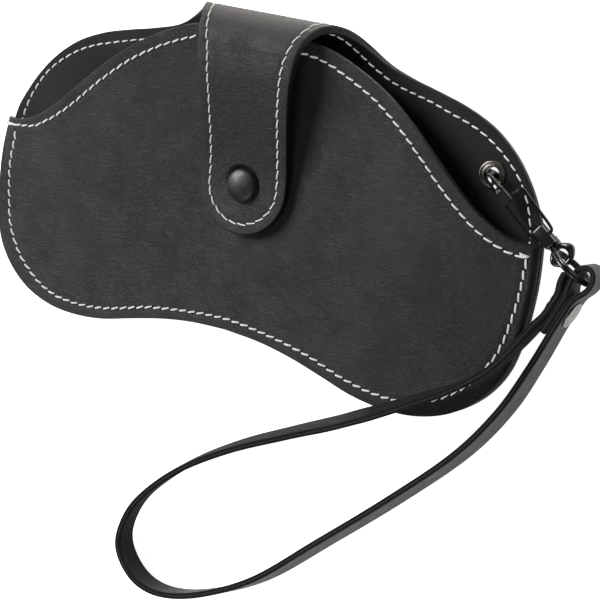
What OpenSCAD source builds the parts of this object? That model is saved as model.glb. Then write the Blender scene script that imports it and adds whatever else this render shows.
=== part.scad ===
// Soft pouch case for glasses: sewn leather pouch with a snap tab and a wrist strap on a swivel hook.
// Millimetres. The pouch lies on its back: +X along its length, +Y towards the tab fold,
// +Z out of the front. The origin is on the back face, under the axis of the snap.

/* [Pouch] */
// Scale of the outline along the pouch's length (1 gives a 180 mm pouch)
outline_kx = 1; // [0.98:0.005:1.02]
// Thickness of one layer of leather
leather_t = 1.23; // [1.0:0.01:1.23]
// Height of the mouth's centre above the sewn seam
mouth_rise = 9.8; // [7:0.1:10]
// Extra fullness over each lens
lens_puff = 1.2; // [0:0.1:2]
// How far the hook's shank lifts the right ear
ear_lift = 2.5; // [2.5:0.1:3]

/* [Tab] */
// Outer radius of the fold over the mouth
fold_r = 10.3; // [10.3:0.1:10.6]
// Half width of the tab at the snap
tab_half_w = 14.1; // [13:0.1:15]

/* [Snap] */
// Radius of the snap's cap
cap_r = 5; // [4.6:0.1:5]
// Height of the cap's dome
cap_dome = 1.9; // [1:0.1:2.5]

/* [Grommet and hook] */
// Position of the grommet along X
grommet_x = 72; // [71.5:0.1:72.2]
// Position of the grommet along Y
grommet_y = 18.2; // [18:0.1:18.5]
// Direction of the hook from the grommet, in degrees
hook_angle = -35.3; // [-35.4:0.1:-34]
// Radius of the hook's bar
hook_bar_r = 0.95; // [0.8:0.05:0.95]
// Radius of the gate's spring wire
gate_wire_r = 0.45; // [0.4:0.05:0.45]
// Radius of the split ring's centre line
ring_r = 5.8; // [5.75:0.05:5.85]
// Radius of the split ring's wire
ring_wire_r = 0.45; // [0.4:0.05:0.45]

/* [Strap] */
// Thickness of the strap
strap_t = 1.85; // [1.6:0.05:1.85]

/* [Thread] */
// Length of one stitch
stitch_len = 2.3; // [1.8:0.1:2.5]
// Distance between stitches
stitch_pitch = 3.05; // [2.8:0.05:3.5]
// Radius of the thread
thread_r = 0.3; // [0.2:0.05:0.3]
// Distance of the seam from the edge
seam_inset = 3.3; // [3:0.1:3.6]

/* [Hidden] */
$fn = 48;
leather_color = "#2b2b2c";
lining_color = "#1f1e1e";
thread_color = "#e8e8e4";
metal_color = "#26262a";

// A sheet is two layers of leather; a layer is [outer, inner] depth from the sheet's outer face
layer_gap = 0.02;
sheet_t = 2 * leather_t + layer_gap;
outer_layer = [0, leather_t];
lining_layer = [leather_t + layer_gap, sheet_t];

fold_y = 38.5;                  // where the back sheet starts to curl
fold_mid_r = fold_r - sheet_t / 2;
fold_start = 45;                // fold angles at which the sheet changes body
fold_end = 135;
fold_half_w = 28.2;             // half width of the sheet at fold_start
seam_top = 2 * sheet_t + 0.15;  // outer face of the front along the seam
snap_dip = 1.2;                 // dent in the front panel round the snap

// ---- curves ----
function smooth_step(t) = let(c = min(max(t, 0), 1)) c * c * (3 - 2 * c);
function unit(v) = v / norm(v);
// unit vector to the left of a plane direction
function left(v) = unit([-v[1], v[0]]);

// Catmull-Rom curve from b to c
function catmull(a, b, c, d, t) = 0.5 * (2 * b + (c - a) * t
    + (2 * a - 5 * b + 4 * c - d) * t * t + (3 * b - a - 3 * c + d) * t * t * t);

// point of the smooth curve through points at part 0..1; it is straight below index corner
function curve_at(points, part, corner = 0) =
    let(end = len(points) - 1, k = min(floor(part * end), end - 1), t = part * end - k,
        p = points[k], q = points[k + 1])
    k < corner ? p + (q - p) * t :
    catmull(k > corner ? points[k - 1] : 2 * p - q, p, q,
        k + 2 <= end ? points[k + 2] : 2 * q - p, t);

// smooth value at key in span k of a [key, value] table; before and after extend its ends
function table_at(table, k, key, before, after) =
    catmull(k > 0 ? table[k - 1][1] : before, table[k][1], table[k + 1][1],
        k + 2 < len(table) ? table[k + 2][1] : after,
        (key - table[k][0]) / (table[k + 1][0] - table[k][0]));

// ---- outline ----
// [x, y] of the right half, from the middle to the corner of the mouth
bottom_pts = [[0, -42.9], [11.8, -43.6], [22.3, -45.3], [32.9, -47.9], [43.6, -50.7],
    [54, -51.8], [64, -51], [73.5, -47.6], [81.5, -41.3], [86.8, -33], [89.4, -22],
    [90.4, -11], [90.3, -4], [89.6, 3]];
mouth_pts = [[0, 44.2], [11, 43.7], [21, 42.5], [31, 38.9], [41, 33.7], [50.5, 27],
    [58.5, 20.2], [65.5, 13.8], [72, 8.6], [77.5, 5.3], [82.3, 3.5], [86, 2.9],
    [88.2, 2.85], [89.6, 3]];
// top of the back sheet, unrolled: straight where the fold starts, then the shoulder
fold_start_y = fold_y + fold_mid_r * fold_start * PI / 180;
shoulder_corner = 3;
shoulder_pts = [[0, fold_start_y], [10, fold_start_y], [19.5, fold_start_y],
    [fold_half_w, fold_start_y], [34.5, 41.2], [43, 38.5], [52, 36.5], [61, 34.1],
    [70, 30.1], [77.5, 24.2], [83, 17.5], [86.8, 11], [88.7, 6.8], [89.6, 3]];

// edges of the pouch at along, from -1 (left) to 1 (right)
function mirrored(p, side) = [p[0] * side * outline_kx, p[1]];
function bottom_edge(along) = mirrored(curve_at(bottom_pts, abs(along)), sign(along));
function mouth_edge(along) = mirrored(curve_at(mouth_pts, abs(along)), sign(along));
function shoulder_edge(along) =
    mirrored(curve_at(shoulder_pts, abs(along), shoulder_corner), sign(along));

// ---- surfaces ----
// rise of the right ear over the hook's shank
function lift(x, y) = ear_lift * smooth_step((x - 38) / 22) * smooth_step((y + 32) / 30);

// point of the back sheet at x and unrolled height y, at depth from its outer face
function sheet_pt(x, y, depth) =
    let(angle = max(0, (y - fold_y) / fold_mid_r) * 180 / PI, r = fold_r - depth)
    y <= fold_y ? [x, y, depth + lift(x, y)] :
    [x, fold_y + r * sin(angle), fold_r - r * cos(angle) + lift(x, y)];

function mouth_height(x) = mouth_rise * pow(max(0, 1 - pow(x / 90 / outline_kx, 2)), 0.8);

// outer face of the front panel; up runs from 0 at the bottom edge to 1 at the mouth
function front_z(x, y, mouth_x, up) = seam_top + lift(x, y)
    + mouth_height(mouth_x) * pow(up, 2.6)
    + lens_puff * pow(sin(180 * up), 1.5) * exp(-pow((abs(x) - 50) / 22, 2))
    - snap_dip * exp(-(x * x + y * y) / 196);
function front_pt(along, up, depth) =
    let(low = bottom_edge(along), high = mouth_edge(along), p = low + (high - low) * up)
    [p[0], p[1], front_z(p[0], p[1], high[0], up) - depth];
function back_pt(along, up, depth) =
    let(low = bottom_edge(along), high = shoulder_edge(along), p = low + (high - low) * up)
    sheet_pt(p[0], p[1], depth);

// ---- basic solids ----
// solid between two grids of points; on the tab and fold, lower is the inner face
module slab(lower, upper) {
    row_count = len(lower);
    col_count = len(lower[0]);
    end_row = row_count - 1;
    end_col = col_count - 1;
    function low(i, j) = i * col_count + j;
    function high(i, j) = row_count * col_count + low(i, j);
    function quad(p, q, r, s) = [[r, q, p], [s, r, p]];
    polyhedron(
        concat([for (row = lower) each row], [for (row = upper) each row]),
        [
            for (i = [0:end_row - 1], j = [0:end_col - 1])
                each quad(low(i, j), low(i, j + 1), low(i + 1, j + 1), low(i + 1, j)),
            for (i = [0:end_row - 1], j = [0:end_col - 1])
                each quad(high(i, j), high(i + 1, j), high(i + 1, j + 1), high(i, j + 1)),
            for (j = [0:end_col - 1])
                each quad(low(0, j), high(0, j), high(0, j + 1), low(0, j + 1)),
            for (j = [0:end_col - 1])
                each quad(low(end_row, j), low(end_row, j + 1),
                    high(end_row, j + 1), high(end_row, j)),
            for (i = [0:end_row - 1])
                each quad(low(i, 0), low(i + 1, 0), high(i + 1, 0), high(i, 0)),
            for (i = [0:end_row - 1])
                each quad(low(i, end_col), high(i, end_col),
                    high(i + 1, end_col), low(i + 1, end_col))
        ]);
}

// upright cylinder between two heights
module disc(r, bottom, top) translate([0, 0, bottom]) cylinder(r = r, h = top - bottom);

module washer(inner_r, outer_r, bottom, top) difference() {
    disc(outer_r, bottom, top);
    disc(inner_r, bottom - 1, top + 1);
}

// ---- pouch panels ----
half_cols = 27;
up_steps = 12;
alongs = [for (i = [-half_cols:half_cols]) 0.992 * i / half_cols];
front_ups = [for (i = [0:up_steps]) i / up_steps];
back_ups = [for (i = [0:up_steps]) 1 - pow(1 - i / up_steps, 1.8)];

function front_grid(depth) = [for (along = alongs) [for (up = front_ups) front_pt(along, up, depth)]];
function back_grid(depth) = [for (along = alongs) [for (up = back_ups) back_pt(along, up, depth)]];
module front_panel(layer) slab(front_grid(layer[1]), front_grid(layer[0]));
module back_panel(layer) slab(back_grid(layer[0]), back_grid(layer[1]));

ear_z = ear_lift;               // underside of the ear at the grommet
ear_top = ear_lift + sheet_t;
grommet_hole_r = 2.42;
module at_grommet() translate([grommet_x, grommet_y, 0]) children();
module grommet_hole() at_grommet() disc(grommet_hole_r, ear_z - 1, ear_z + 7);

module back_outer() color(leather_color) difference() {
    back_panel(outer_layer);
    grommet_hole();
    // seat of the washer
    at_grommet() disc(3.66, ear_z - 1, ear_z + 0.35);
}
module back_lining() color(lining_color) difference() {
    back_panel(lining_layer);
    grommet_hole();
}

// front panel, with the seats of the snap's stud and post
snap_z = seam_top + mouth_rise * 0.162 - snap_dip;
module post_hole() cylinder(r = 1.6, h = 12);
module front_outer() color(leather_color) difference() {
    front_panel(outer_layer);
    post_hole();
    disc(4.75, snap_z - 0.3, snap_z + 5.7);
}
module front_lining() color(lining_color) difference() {
    front_panel(lining_layer);
    post_hole();
    cylinder(r = 4.1, h = snap_z - sheet_t + 0.3);
}

// ---- fold and tab ----
// A row of the sheet is [half width, [y, z] of its outer face, [y, z] outward direction]

// [fold angle, half width] from fold_start to the tab
fold_widths = [[45, fold_half_w], [68, 24.6], [92, 21.6], [117, 19.2], [148, 17.2], [180, 15.9]];
fold_spans = len(fold_widths) - 1;
function fold_half(angle) =
    let(k = max([for (i = [0:fold_spans - 1]) if (angle >= fold_widths[i][0] - 0.01) i]))
    table_at(fold_widths, k, angle, 2 * fold_widths[0][1] - fold_widths[1][1],
        fold_widths[fold_spans][1] - 0.9);
function fold_row(angle) = [fold_half(angle),
    [fold_y + fold_r * sin(angle), fold_r - fold_r * cos(angle)], [sin(angle), -cos(angle)]];

// [y, z] of the tab's outer face, from the fold to beyond the tip
tab_profile = [[fold_y, 2 * fold_r], [32, 20.05], [25, 17.9], [18, 15.2], [11, 12.45],
    [5, 10.35], [0, 9.3], [-5, 8.9], [-10, 8.75], [-14.2, 8.7]];
tab_spans = len(tab_profile) - 1;
tab_tip = -14.15;
function tab_z(y) =
    let(k = max([for (i = [0:tab_spans - 1]) if (y <= tab_profile[i][0] + 0.001) i]))
    table_at(tab_profile, k, y, tab_profile[0][1] - 0.3, tab_profile[tab_spans][1]);
function tab_half(y) = y >= 0 ? tab_half_w + 1.8 * pow(y / fold_y, 3) :
    tab_half_w * sqrt(max(0.002, 1 - pow(y / tab_tip, 2)));
function tab_row(y) =
    let(rise = tab_z(min(y + 0.1, fold_y)) - tab_z(max(y - 0.1, tab_profile[tab_spans][0])))
    [tab_half(y), [y, tab_z(y)], left([0.2, rise])];

fold_margin = 0.15;             // clearance at each change of body
fold_rows = [for (i = [0:8])
    fold_row(fold_start + fold_margin + (fold_end - fold_start - 2 * fold_margin) * i / 8)];
tab_rows = concat(
    [for (i = [0:4]) fold_row(fold_end + fold_margin + (180 - fold_end - fold_margin) * i / 4)],
    [for (i = [1:11]) tab_row(fold_y * (1 - i / 11))],
    [for (i = [1:9]) tab_row(tab_tip * sin(i * 10) * 0.999)]);

strip_cols = 6;
function row_pts(row, depth) = [for (j = [0:strip_cols]) [row[0] * (2 * j / strip_cols - 1),
    row[1][0] - row[2][0] * depth, row[1][1] - row[2][1] * depth]];
function strip_grid(rows, depth) = [for (row = rows) row_pts(row, depth)];
module strip(rows, layer) slab(strip_grid(rows, layer[1]), strip_grid(rows, layer[0]));

// hole of the cap's stem and seat of the cap
module cap_cutout() {
    cylinder(r = 1.35, h = 30);
    disc(cap_r + 0.1, 9, 14);
}

module fold_outer() color(leather_color) strip(fold_rows, outer_layer);
module fold_lining() color(lining_color) strip(fold_rows, lining_layer);
module tab_outer() color(leather_color) difference() {
    strip(tab_rows, outer_layer);
    cap_cutout();
}
module tab_lining() color(lining_color) difference() {
    strip(tab_rows, lining_layer);
    cap_cutout();
    // seat of the socket
    cylinder(r = 4.6, h = 7.3);
}

// ---- stitches ----
stitch_rise = thread_r + 0.08;  // thread axis above the leather
module stitch(centre, dir) translate(centre)
    rotate([0, acos(unit(dir)[2]), atan2(dir[1], dir[0])])
        cylinder(r = thread_r, h = stitch_len, center = true, $fn = 24);

// curve positions of the stitches on spans first_span to last_span
function stitch_parts(points, first_span, last_span) = [
    for (k = [first_span:last_span])
        let(count = max(1, round(norm(points[k + 1] - points[k]) / stitch_pitch)))
        for (i = [0:count - 1]) (k + (i + 0.5) / count) / (len(points) - 1)
];

module seam_thread() color(thread_color)
    for (side = [-1, 1], part = stitch_parts(bottom_pts, 0, 11)) {
        along = side * part;
        dir = bottom_edge(along + 0.01) - bottom_edge(along - 0.01);
        p = bottom_edge(along) + seam_inset * left(dir);
        ahead = p + unit(dir);
        p_lift = lift(p[0], p[1]);
        // the stitches rise a little towards both ends of the pouch
        end_rise = 0.4 * smooth_step((abs(p[0]) - 76) / 10);
        stitch([p[0], p[1], seam_top + p_lift + stitch_rise + 0.12 + end_rise],
            [dir[0], dir[1], lift(ahead[0], ahead[1]) - p_lift]);
    }

module mouth_thread() color(thread_color)
    for (side = [-1, 1], part = stitch_parts(mouth_pts, 0, 10)) {
        along = side * part;
        up = 1 - seam_inset / norm(mouth_edge(along) - bottom_edge(along));
        start = front_pt(along - 0.006, up, 0);
        end = front_pt(along + 0.006, up, 0);
        stitch((start + end) / 2 + [0, 0, stitch_rise + 0.06], end - start);
    }

module shoulder_thread() color(thread_color)
    for (side = [-1, 1], part = stitch_parts(shoulder_pts, shoulder_corner, 11)) {
        along = side * part;
        dir = shoulder_edge(along + 0.004) - shoulder_edge(along - 0.004);
        p = shoulder_edge(along) - seam_inset * left(dir);
        step = unit(dir) * 0.5;
        depth = sheet_t + stitch_rise + 0.12;
        start = sheet_pt(p[0] - step[0], p[1] - step[1], depth);
        end = sheet_pt(p[0] + step[0], p[1] + step[1], depth);
        stitch((start + end) / 2, end - start);
    }

// stitches along both edges of the rows
row_inset = seam_inset - 0.3;
function row_edge(row, side) = let(rise = stitch_rise + 0.04)
    [side * (row[0] - row_inset), row[1][0] + row[2][0] * rise, row[1][1] + row[2][1] * rise];
module edge_stitches(row, before, after, rise = 0) for (side = [-1, 1])
    stitch(row_edge(row, side) + [0, 0, rise], row_edge(after, side) - row_edge(before, side));
module fold_stitches(angles) for (angle = angles)
    edge_stitches(fold_row(angle), fold_row(angle - 2), fold_row(angle + 2));

module fold_thread() color(thread_color) fold_stitches([52:13.2:130]);
module tab_thread() color(thread_color) {
    fold_stitches([145, 161]);
    for (i = [0:12]) {
        y = 37.8 - i * 3;
        edge_stitches(tab_row(y), tab_row(y + 0.4), tab_row(y - 0.5), rise = 0.05);
    }
    // round the tip
    tip_r = tab_half_w - row_inset;
    for (angle = [187.5:15:352.5]) {
        y = tip_r * sin(angle);
        stitch([tip_r * cos(angle), y, tab_z(y) + stitch_rise + 0.06],
            [-sin(angle), cos(angle), 0]);
    }
}

// ---- snap ----
dome_z = 9.35;                  // foot of the cap's dome
cap_z = dome_z - 0.32;          // underside of the cap's rim
stud_z = snap_z - 0.27;         // underside of the stud

module snap_cap() color(metal_color) {
    // dome of the given height on a short rim, with its stem
    sphere_r = (cap_r * cap_r + cap_dome * cap_dome) / (2 * cap_dome);
    intersection() {
        translate([0, 0, dome_z + cap_dome - sphere_r]) sphere(r = sphere_r);
        translate([0, 0, dome_z]) cylinder(r = cap_r, h = cap_dome + 1);
    }
    disc(cap_r, cap_z, dome_z);
    disc(1.25, 7.08, 9.18);
}

// [radius, z]
module snap_socket() color(metal_color) rotate_extrude() polygon([
    [2.25, stud_z + 0.5], [4.1, stud_z + 0.5], [4.1, 6.8], [4.5, 7.0], [4.5, 7.28], [1.3, 7.28],
    [1.3, 6.98], [2.25, 6.98], [2.25, 6.62], [2.85, 6.62], [2.85, 6.05], [2.25, 6.05]]);

module snap_spring() color(metal_color) translate([0, 0, 6.33])
    rotate_extrude() translate([2.5, 0]) circle(r = 0.24, $fn = 24);

// [radius, z]
module snap_stud() color(metal_color) rotate_extrude() polygon([
    [1.35, stud_z], [4.3, stud_z], [4.3, stud_z + 0.25], [4.1, stud_z + 0.4],
    [1.75, stud_z + 0.4], [1.75, 6.05], [2.05, 6.25], [2.05, 6.55], [1.8, 6.85], [0, 6.85],
    [0, 6.35], [1.35, 6.35]]);

module snap_post() color(metal_color) {
    disc(4, 2.72, snap_z - sheet_t + 0.25);
    disc(1.3, 2.9, 6.3);
}

// ---- grommet ----
module grommet_barrel() color(metal_color) at_grommet() union() {
    washer(2, 2.38, ear_z + 0.02, ear_top + 0.3);
    // flange on top of the ear: [radius, z]
    translate([0, 0, ear_top + 0.02]) rotate_extrude() polygon([[2, 0], [3.7, 0], [3.72, 0.2],
        [3.5, 0.45], [3.1, 0.56], [2.6, 0.45], [2.25, 0.2], [2, 0.1]]);
}
module grommet_washer() color(metal_color) at_grommet()
    washer(grommet_hole_r, 3.6, ear_z + 0.02, ear_z + 0.32);

// ---- hook: its own x runs along the hook, away from the grommet ----
shank_z = 1.1;                  // lower bar
nose_z = 9.4;                   // upper bar
bend_r = (nose_z - shank_z) / 2;
bend_x = 3.5;                   // centre of the bend
nose_end = 8.8;
swivel_z = 3.9;                 // axis of the swivel
gate_x = 22.4;                  // pivot of the gate
gate_z = 6.15;
gate_block_x = 19.2;            // start of the block that holds the pivot
swivel_block_x = 23.4;          // start and end of the swivel's housing
block_end = 25.3;

module at_hook() at_grommet() rotate([0, 0, hook_angle]) children();
module rod(r, start, end, z) translate([start, 0, z]) rotate([0, 90, 0])
    cylinder(r = r, h = end - start);

module hook_body() color(metal_color) at_hook() difference() {
    union() {
        rod(hook_bar_r, bend_x, swivel_block_x + 1.2, shank_z);
        translate([bend_x, 0, shank_z + bend_r]) rotate([90, 0, 0]) rotate([0, 0, 90])
            rotate_extrude(angle = 180) translate([bend_r, 0]) circle(r = hook_bar_r);
        rod(hook_bar_r, bend_x, nose_end, nose_z);
        rod(2, swivel_block_x, block_end, swivel_z);
        // web between the shank and the swivel's housing
        translate([swivel_block_x, -hook_bar_r, shank_z - hook_bar_r])
            cube([block_end - swivel_block_x, 2 * hook_bar_r, 2]);
        translate([gate_block_x, -1.65, ear_top + 0.16])
            cube([block_end - gate_block_x, 3.3, 1.75]);
    }
    // pivot hole of the gate
    translate([gate_x, 3, gate_z]) rotate([90, 0, 0]) cylinder(r = 0.5, h = 6);
    // room for the swivel's head and stem
    rod(1.4, swivel_block_x + 0.5, swivel_block_x + 1.2, swivel_z);
    rod(0.8, swivel_block_x + 0.6, block_end + 1, swivel_z);
}

// tube of radius r through the path, with flat sides
module tube(path, r, sides = 10) {
    end = len(path) - 1;
    function circle_at(i) =
        let(dir = unit(path[min(i + 1, end)] - path[max(i - 1, 0)]),
            across = unit(cross(dir, abs(dir[2]) > 0.9 ? [1, 0, 0] : [0, 0, 1])),
            other = cross(across, dir))
        [for (k = [0:sides - 1])
            path[i] + r * (cos(360 * k / sides) * across + sin(360 * k / sides) * other)];
    polyhedron([for (i = [0:end]) each circle_at(i)], concat(
        [for (i = [0:end - 1], k = [0:sides - 1])
            let(next = (k + 1) % sides, ring = i * sides, ahead = ring + sides)
            each [[ring + k, ahead + next, ahead + k], [ring + k, ring + next, ahead + next]]],
        [[for (k = [sides - 1:-1:0]) k], [for (k = [0:sides - 1]) end * sides + k]]));
}

// [x, y, z] of the gate's wire in the hook's frame, from pivot end to pivot end
gate_pts = [[gate_x, -1.0, gate_z], [gate_x, -1.9, gate_z], [gate_x - 0.35, -2.35, gate_z + 0.03],
    [20.6, -2.4, 6.45], [18, -2.3, 6.83], [14, -2.05, 7.33], [9.9, -1.75, 7.82],
    [8.6, -1.2, 7.9], [8.3, 0.2, 7.9], [8.5, 3, 7.9], [8.9, 4.2, 7.9], [10.1, 4.6, 7.8],
    [14, 4.15, 7.33], [18, 3.7, 6.83], [20.6, 3.35, 6.45],
    [gate_x - 0.3, 2.9, gate_z + 0.03], [gate_x, 2.1, gate_z], [gate_x, 1.0, gate_z]];
gate_steps = 68;
module hook_gate() color(metal_color) at_hook()
    tube([for (i = [0:gate_steps]) curve_at(gate_pts, i / gate_steps)], gate_wire_r);

// ---- swivel eye and split ring ----
eye_x = 28.5;                   // centre of the eye in the hook's frame
eye_hole = 1.6;
eye_bar = 0.75;
eye_at = [grommet_x + eye_x * cos(hook_angle), grommet_y + eye_x * sin(hook_angle), swivel_z];
module swivel_eye() color(metal_color) at_hook() union() {
    translate([eye_x, 0, swivel_z])
        rotate_extrude() translate([eye_hole + eye_bar, 0]) circle(r = eye_bar);
    // stem, head inside the housing and collar outside it
    rod(0.75, swivel_block_x + 0.65, eye_x - eye_hole - eye_bar, swivel_z);
    rod(1.3, swivel_block_x + 0.6, swivel_block_x + 1.1, swivel_z);
    rod(1.5, block_end + 0.08, block_end + 0.7, swivel_z);
}

ring_dir = -31;
ring_tilt = -4;                 // lean of the ring, in degrees
ring_drop = 3;                  // height of the ring's centre above the eye
ring_reach = sqrt(ring_r * ring_r - ring_drop * ring_drop);
ring_side = -ring_drop * tan(ring_tilt);
ring_at = eye_at + [ring_reach * cos(ring_dir) - ring_side * sin(ring_dir),
    ring_reach * sin(ring_dir) + ring_side * cos(ring_dir), ring_drop];
module split_ring() color(metal_color) translate(ring_at) rotate([0, 0, ring_dir])
    rotate([90 + ring_tilt, 0, 0]) rotate_extrude($fn = 96) translate([ring_r, 0])
        for (offset_z = [0.44, -0.44]) translate([0, offset_z]) circle(r = ring_wire_r, $fn = 24);

// ---- wrist strap: a band on edge, folded through the ring and riveted ----
rivet_at = [101, -12, 7];
rivet_along = [-0.36, -0.933];  // along the band, away from the ring
rivet_across = [-rivet_along[1], rivet_along[0]];
first_ply = -3.75;              // outermost plies at the rivet, measured across the band
last_ply = 0.2;

// Stations: two for the place of the upper edge, then its height, half width and lean.
// The lean is the upper edge's, in degrees, to the left of travel.
// Near the rivet the place is [along, across] from the rivet.
start_stations = [
    [-8.8, -5.25, 12, 5, 0], [-6.2, -4.9, 12, 5, 0], [-4, -3.85, 12, 5, 0],
    [-2, first_ply, 12, 5, 0], [0, first_ply, 12, 5, 0], [2, first_ply, 12, 5, 0],
    [4, -3.85, 12.3, 5, 0], [6.6, -4.5, 13, 5, 1]];
// round the wrist loop the place is [x, y]
loop_stations = [
    [90.9, -23.6, 15.9, 5, 2], [85.4, -31.4, 16.3, 5, 4], [76, -39.4, 17, 5, 6],
    [66.2, -45.8, 17.2, 5, 9], [56.3, -52, 15.8, 5, 12], [48.9, -56.2, 13.8, 5, 13],
    [41.4, -60.3, 11.8, 5, 12], [28.4, -66.8, 10, 5, 10], [10.5, -76.3, 10, 5, 8],
    [-5.2, -87.3, 10, 5, 7], [-17, -100.4, 10, 5, 10], [-20.8, -111.4, 10.1, 5, 12],
    [-18.9, -118.6, 10.1, 5, 10], [-11.8, -124.2, 10.1, 5, 8], [-1.9, -124.8, 10.1, 5, 6],
    [11.2, -120, 10.1, 5, 6], [26.9, -110, 10.1, 5, 7], [43.9, -93.5, 10.1, 5, 8],
    [62, -75.5, 10.1, 5, 8], [78.7, -57.4, 10.1, 5, 7], [88.7, -42.4, 10.4, 5, 5],
    [95, -28.5, 11.2, 5, 2]];
// back past the rivet, through the ring and to the rivet again
end_stations = [
    [6, 0.25, 12, 5, 0], [4, last_ply, 12, 5, 0], [2, last_ply, 12, 5, 0],
    [0, last_ply, 12, 5, 0], [-2, last_ply, 12, 5, 0], [-4, 0.25, 12, 5, 0],
    [-6, 1.05, 11.7, 4.5, 0], [-8, 1.95, 11.2, 4, 0], [-10.2, 2.1, 11.2, 4, 0],
    [-12.6, 1.2, 11.2, 4, 0], [-13.4, -0.5, 11.2, 4, 0], [-12.5, -2.3, 11.2, 4, 0],
    [-10.3, -3.15, 11.2, 4, 0], [-8, -2.98, 11.3, 4, 0], [-6, -2.5, 11.7, 4.5, 0],
    [-4, -1.84, 12, 5, 0], [-2, -1.75, 12, 5, 0], [0, -1.75, 12, 5, 0],
    [3, -1.75, 12, 5, 0], [7.2, -1.85, 12, 5, 0]];
function from_rivet(stations) = [for (s = stations)
    let(p = [rivet_at[0], rivet_at[1]] + s[0] * rivet_along + s[1] * rivet_across)
    [p[0], p[1], s[2], s[3], s[4]]];
strap_stations = concat(from_rivet(start_stations), loop_stations, from_rivet(end_stations));

strap_spans = len(strap_stations) - 1;
strap_parts = concat([for (k = [0:strap_spans - 1])
    let(step = strap_stations[k + 1] - strap_stations[k],
        count = max(2, round(norm([step[0], step[1]]) / 4.5)))
    for (i = [0:count - 1]) (k + i / count) / strap_spans], [1]);

// four corners of the band's section
function strap_section(part) =
    let(s = curve_at(strap_stations, part),
        ahead = curve_at(strap_stations, min(1, part + 0.0015)),
        behind = curve_at(strap_stations, max(0, part - 0.0015)),
        side = left(ahead - behind), width = 2 * s[3], lean = s[4],
        up = [sin(lean) * side[0], sin(lean) * side[1], cos(lean)],
        half = strap_t / 2 * [cos(lean) * side[0], cos(lean) * side[1], -sin(lean)],
        // keeps the lower edge above z = 0
        lowest = width * cos(lean) + strap_t / 2 * abs(sin(lean)) + 0.06,
        upper = [s[0], s[1], max(s[2], lowest)],
        lower = upper - width * up)
    [upper + half, upper - half, lower - half, lower + half];

module wrist_strap() color(lining_color) difference() {
    sections = [for (part = strap_parts) strap_section(part)];
    end = len(sections) - 1;
    polyhedron([for (section = sections) each section], concat(
        [for (i = [0:end - 1], k = [0:3])
            let(next = 4 * i + (k + 1) % 4, this = 4 * i + k)
            each [[this, this + 4, next + 4], [this, next + 4, next]]],
        [[0, 1, 2, 3], [for (k = [3:-1:0]) 4 * end + k]]));
    at_rivet() disc(1.25, -12, 12);
}

// the rivet's own z runs across the band
module at_rivet() translate(rivet_at)
    rotate([0, 0, atan2(rivet_across[1], rivet_across[0])]) rotate([0, 90, 0]) children();
cap_face = last_ply + strap_t / 2;
post_face = first_ply - strap_t / 2;
rivet_joint = -1.7;             // where the cap's stem ends
module strap_rivet_cap() color(metal_color) at_rivet() {
    translate([0, 0, cap_face + 0.06]) rotate_extrude() polygon([[0, 0], [3.7, 0],
        [3.75, 0.2], [3.4, 0.5], [2.5, 0.8], [1.2, 0.95], [0, 1]]);
    disc(1.2, rivet_joint, cap_face + 0.2);
}
module strap_rivet_post() color(metal_color) at_rivet() {
    disc(3.2, post_face - 0.72, post_face - 0.17);
    disc(1.2, post_face - 0.3, rivet_joint - 0.08);
}

back_outer();
back_lining();
front_outer();
front_lining();
fold_outer();
fold_lining();
tab_outer();
tab_lining();
seam_thread();
mouth_thread();
shoulder_thread();
fold_thread();
tab_thread();
snap_cap();
snap_socket();
snap_spring();
snap_stud();
snap_post();
grommet_barrel();
grommet_washer();
hook_body();
hook_gate();
swivel_eye();
split_ring();
wrist_strap();
strap_rivet_cap();
strap_rivet_post();
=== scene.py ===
# A black leather pouch with a snap tab, a wrist strap, a hook and a split ring.
# It lies flat: x runs across it, y towards its fold and z up, with the snap at x = y = 0.
# The back sheet lies underneath, from z = 0. At the top (+y) it folds over, and its tab
# comes down onto the front. Shapes are in mm and become metres when the meshes are made.
import bmesh
import bpy
import math
import numpy as np
from mathutils import Matrix, Vector
from mathutils.bvhtree import BVHTree


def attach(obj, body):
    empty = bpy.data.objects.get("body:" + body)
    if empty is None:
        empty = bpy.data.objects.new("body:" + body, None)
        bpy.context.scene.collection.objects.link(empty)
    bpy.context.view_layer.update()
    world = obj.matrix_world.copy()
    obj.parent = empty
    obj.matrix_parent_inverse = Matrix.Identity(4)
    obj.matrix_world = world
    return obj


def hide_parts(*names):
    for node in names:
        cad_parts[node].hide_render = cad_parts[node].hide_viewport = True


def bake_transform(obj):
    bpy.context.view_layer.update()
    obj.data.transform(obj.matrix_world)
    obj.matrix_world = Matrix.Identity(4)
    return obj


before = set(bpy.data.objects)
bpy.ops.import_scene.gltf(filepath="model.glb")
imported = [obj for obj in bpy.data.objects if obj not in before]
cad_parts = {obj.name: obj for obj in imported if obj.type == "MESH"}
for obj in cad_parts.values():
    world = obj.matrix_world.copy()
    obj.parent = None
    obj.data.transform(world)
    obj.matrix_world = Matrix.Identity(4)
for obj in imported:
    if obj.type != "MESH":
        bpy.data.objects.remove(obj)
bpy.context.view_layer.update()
MM = 0.001

# ------------------------------------------------------------------ dimensions
LAYER, LAYER_GAP = 1.23, 0.02
SHEET = 2 * LAYER + LAYER_GAP           # outer leather and lining
SEAM_Z = 2 * SHEET + 0.15               # top of the front where it meets the back
FOLD_Y, FOLD_R = 38.5, 10.3             # where the fold starts, and its outer radius
FOLD_MID_R = FOLD_R - SHEET / 2
FOLD_HALF = FOLD_Y + FOLD_MID_R * math.pi / 2      # unrolled heights
FOLD_END = FOLD_Y + FOLD_MID_R * math.pi
MOUTH_RISE, PUFF, EAR_LIFT = 9.8, 1.2, 2.5
SNAP_DIP = 1.2
SNAP_Z = SEAM_Z + MOUTH_RISE * 0.162 - SNAP_DIP
STUD_Z = SNAP_Z - 0.27
TAB_TIP_Y, TAB_HALF = -14.15, 14.1
GROMMET = (72.0, 18.2)
STITCH_PITCH = 3.05

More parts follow.
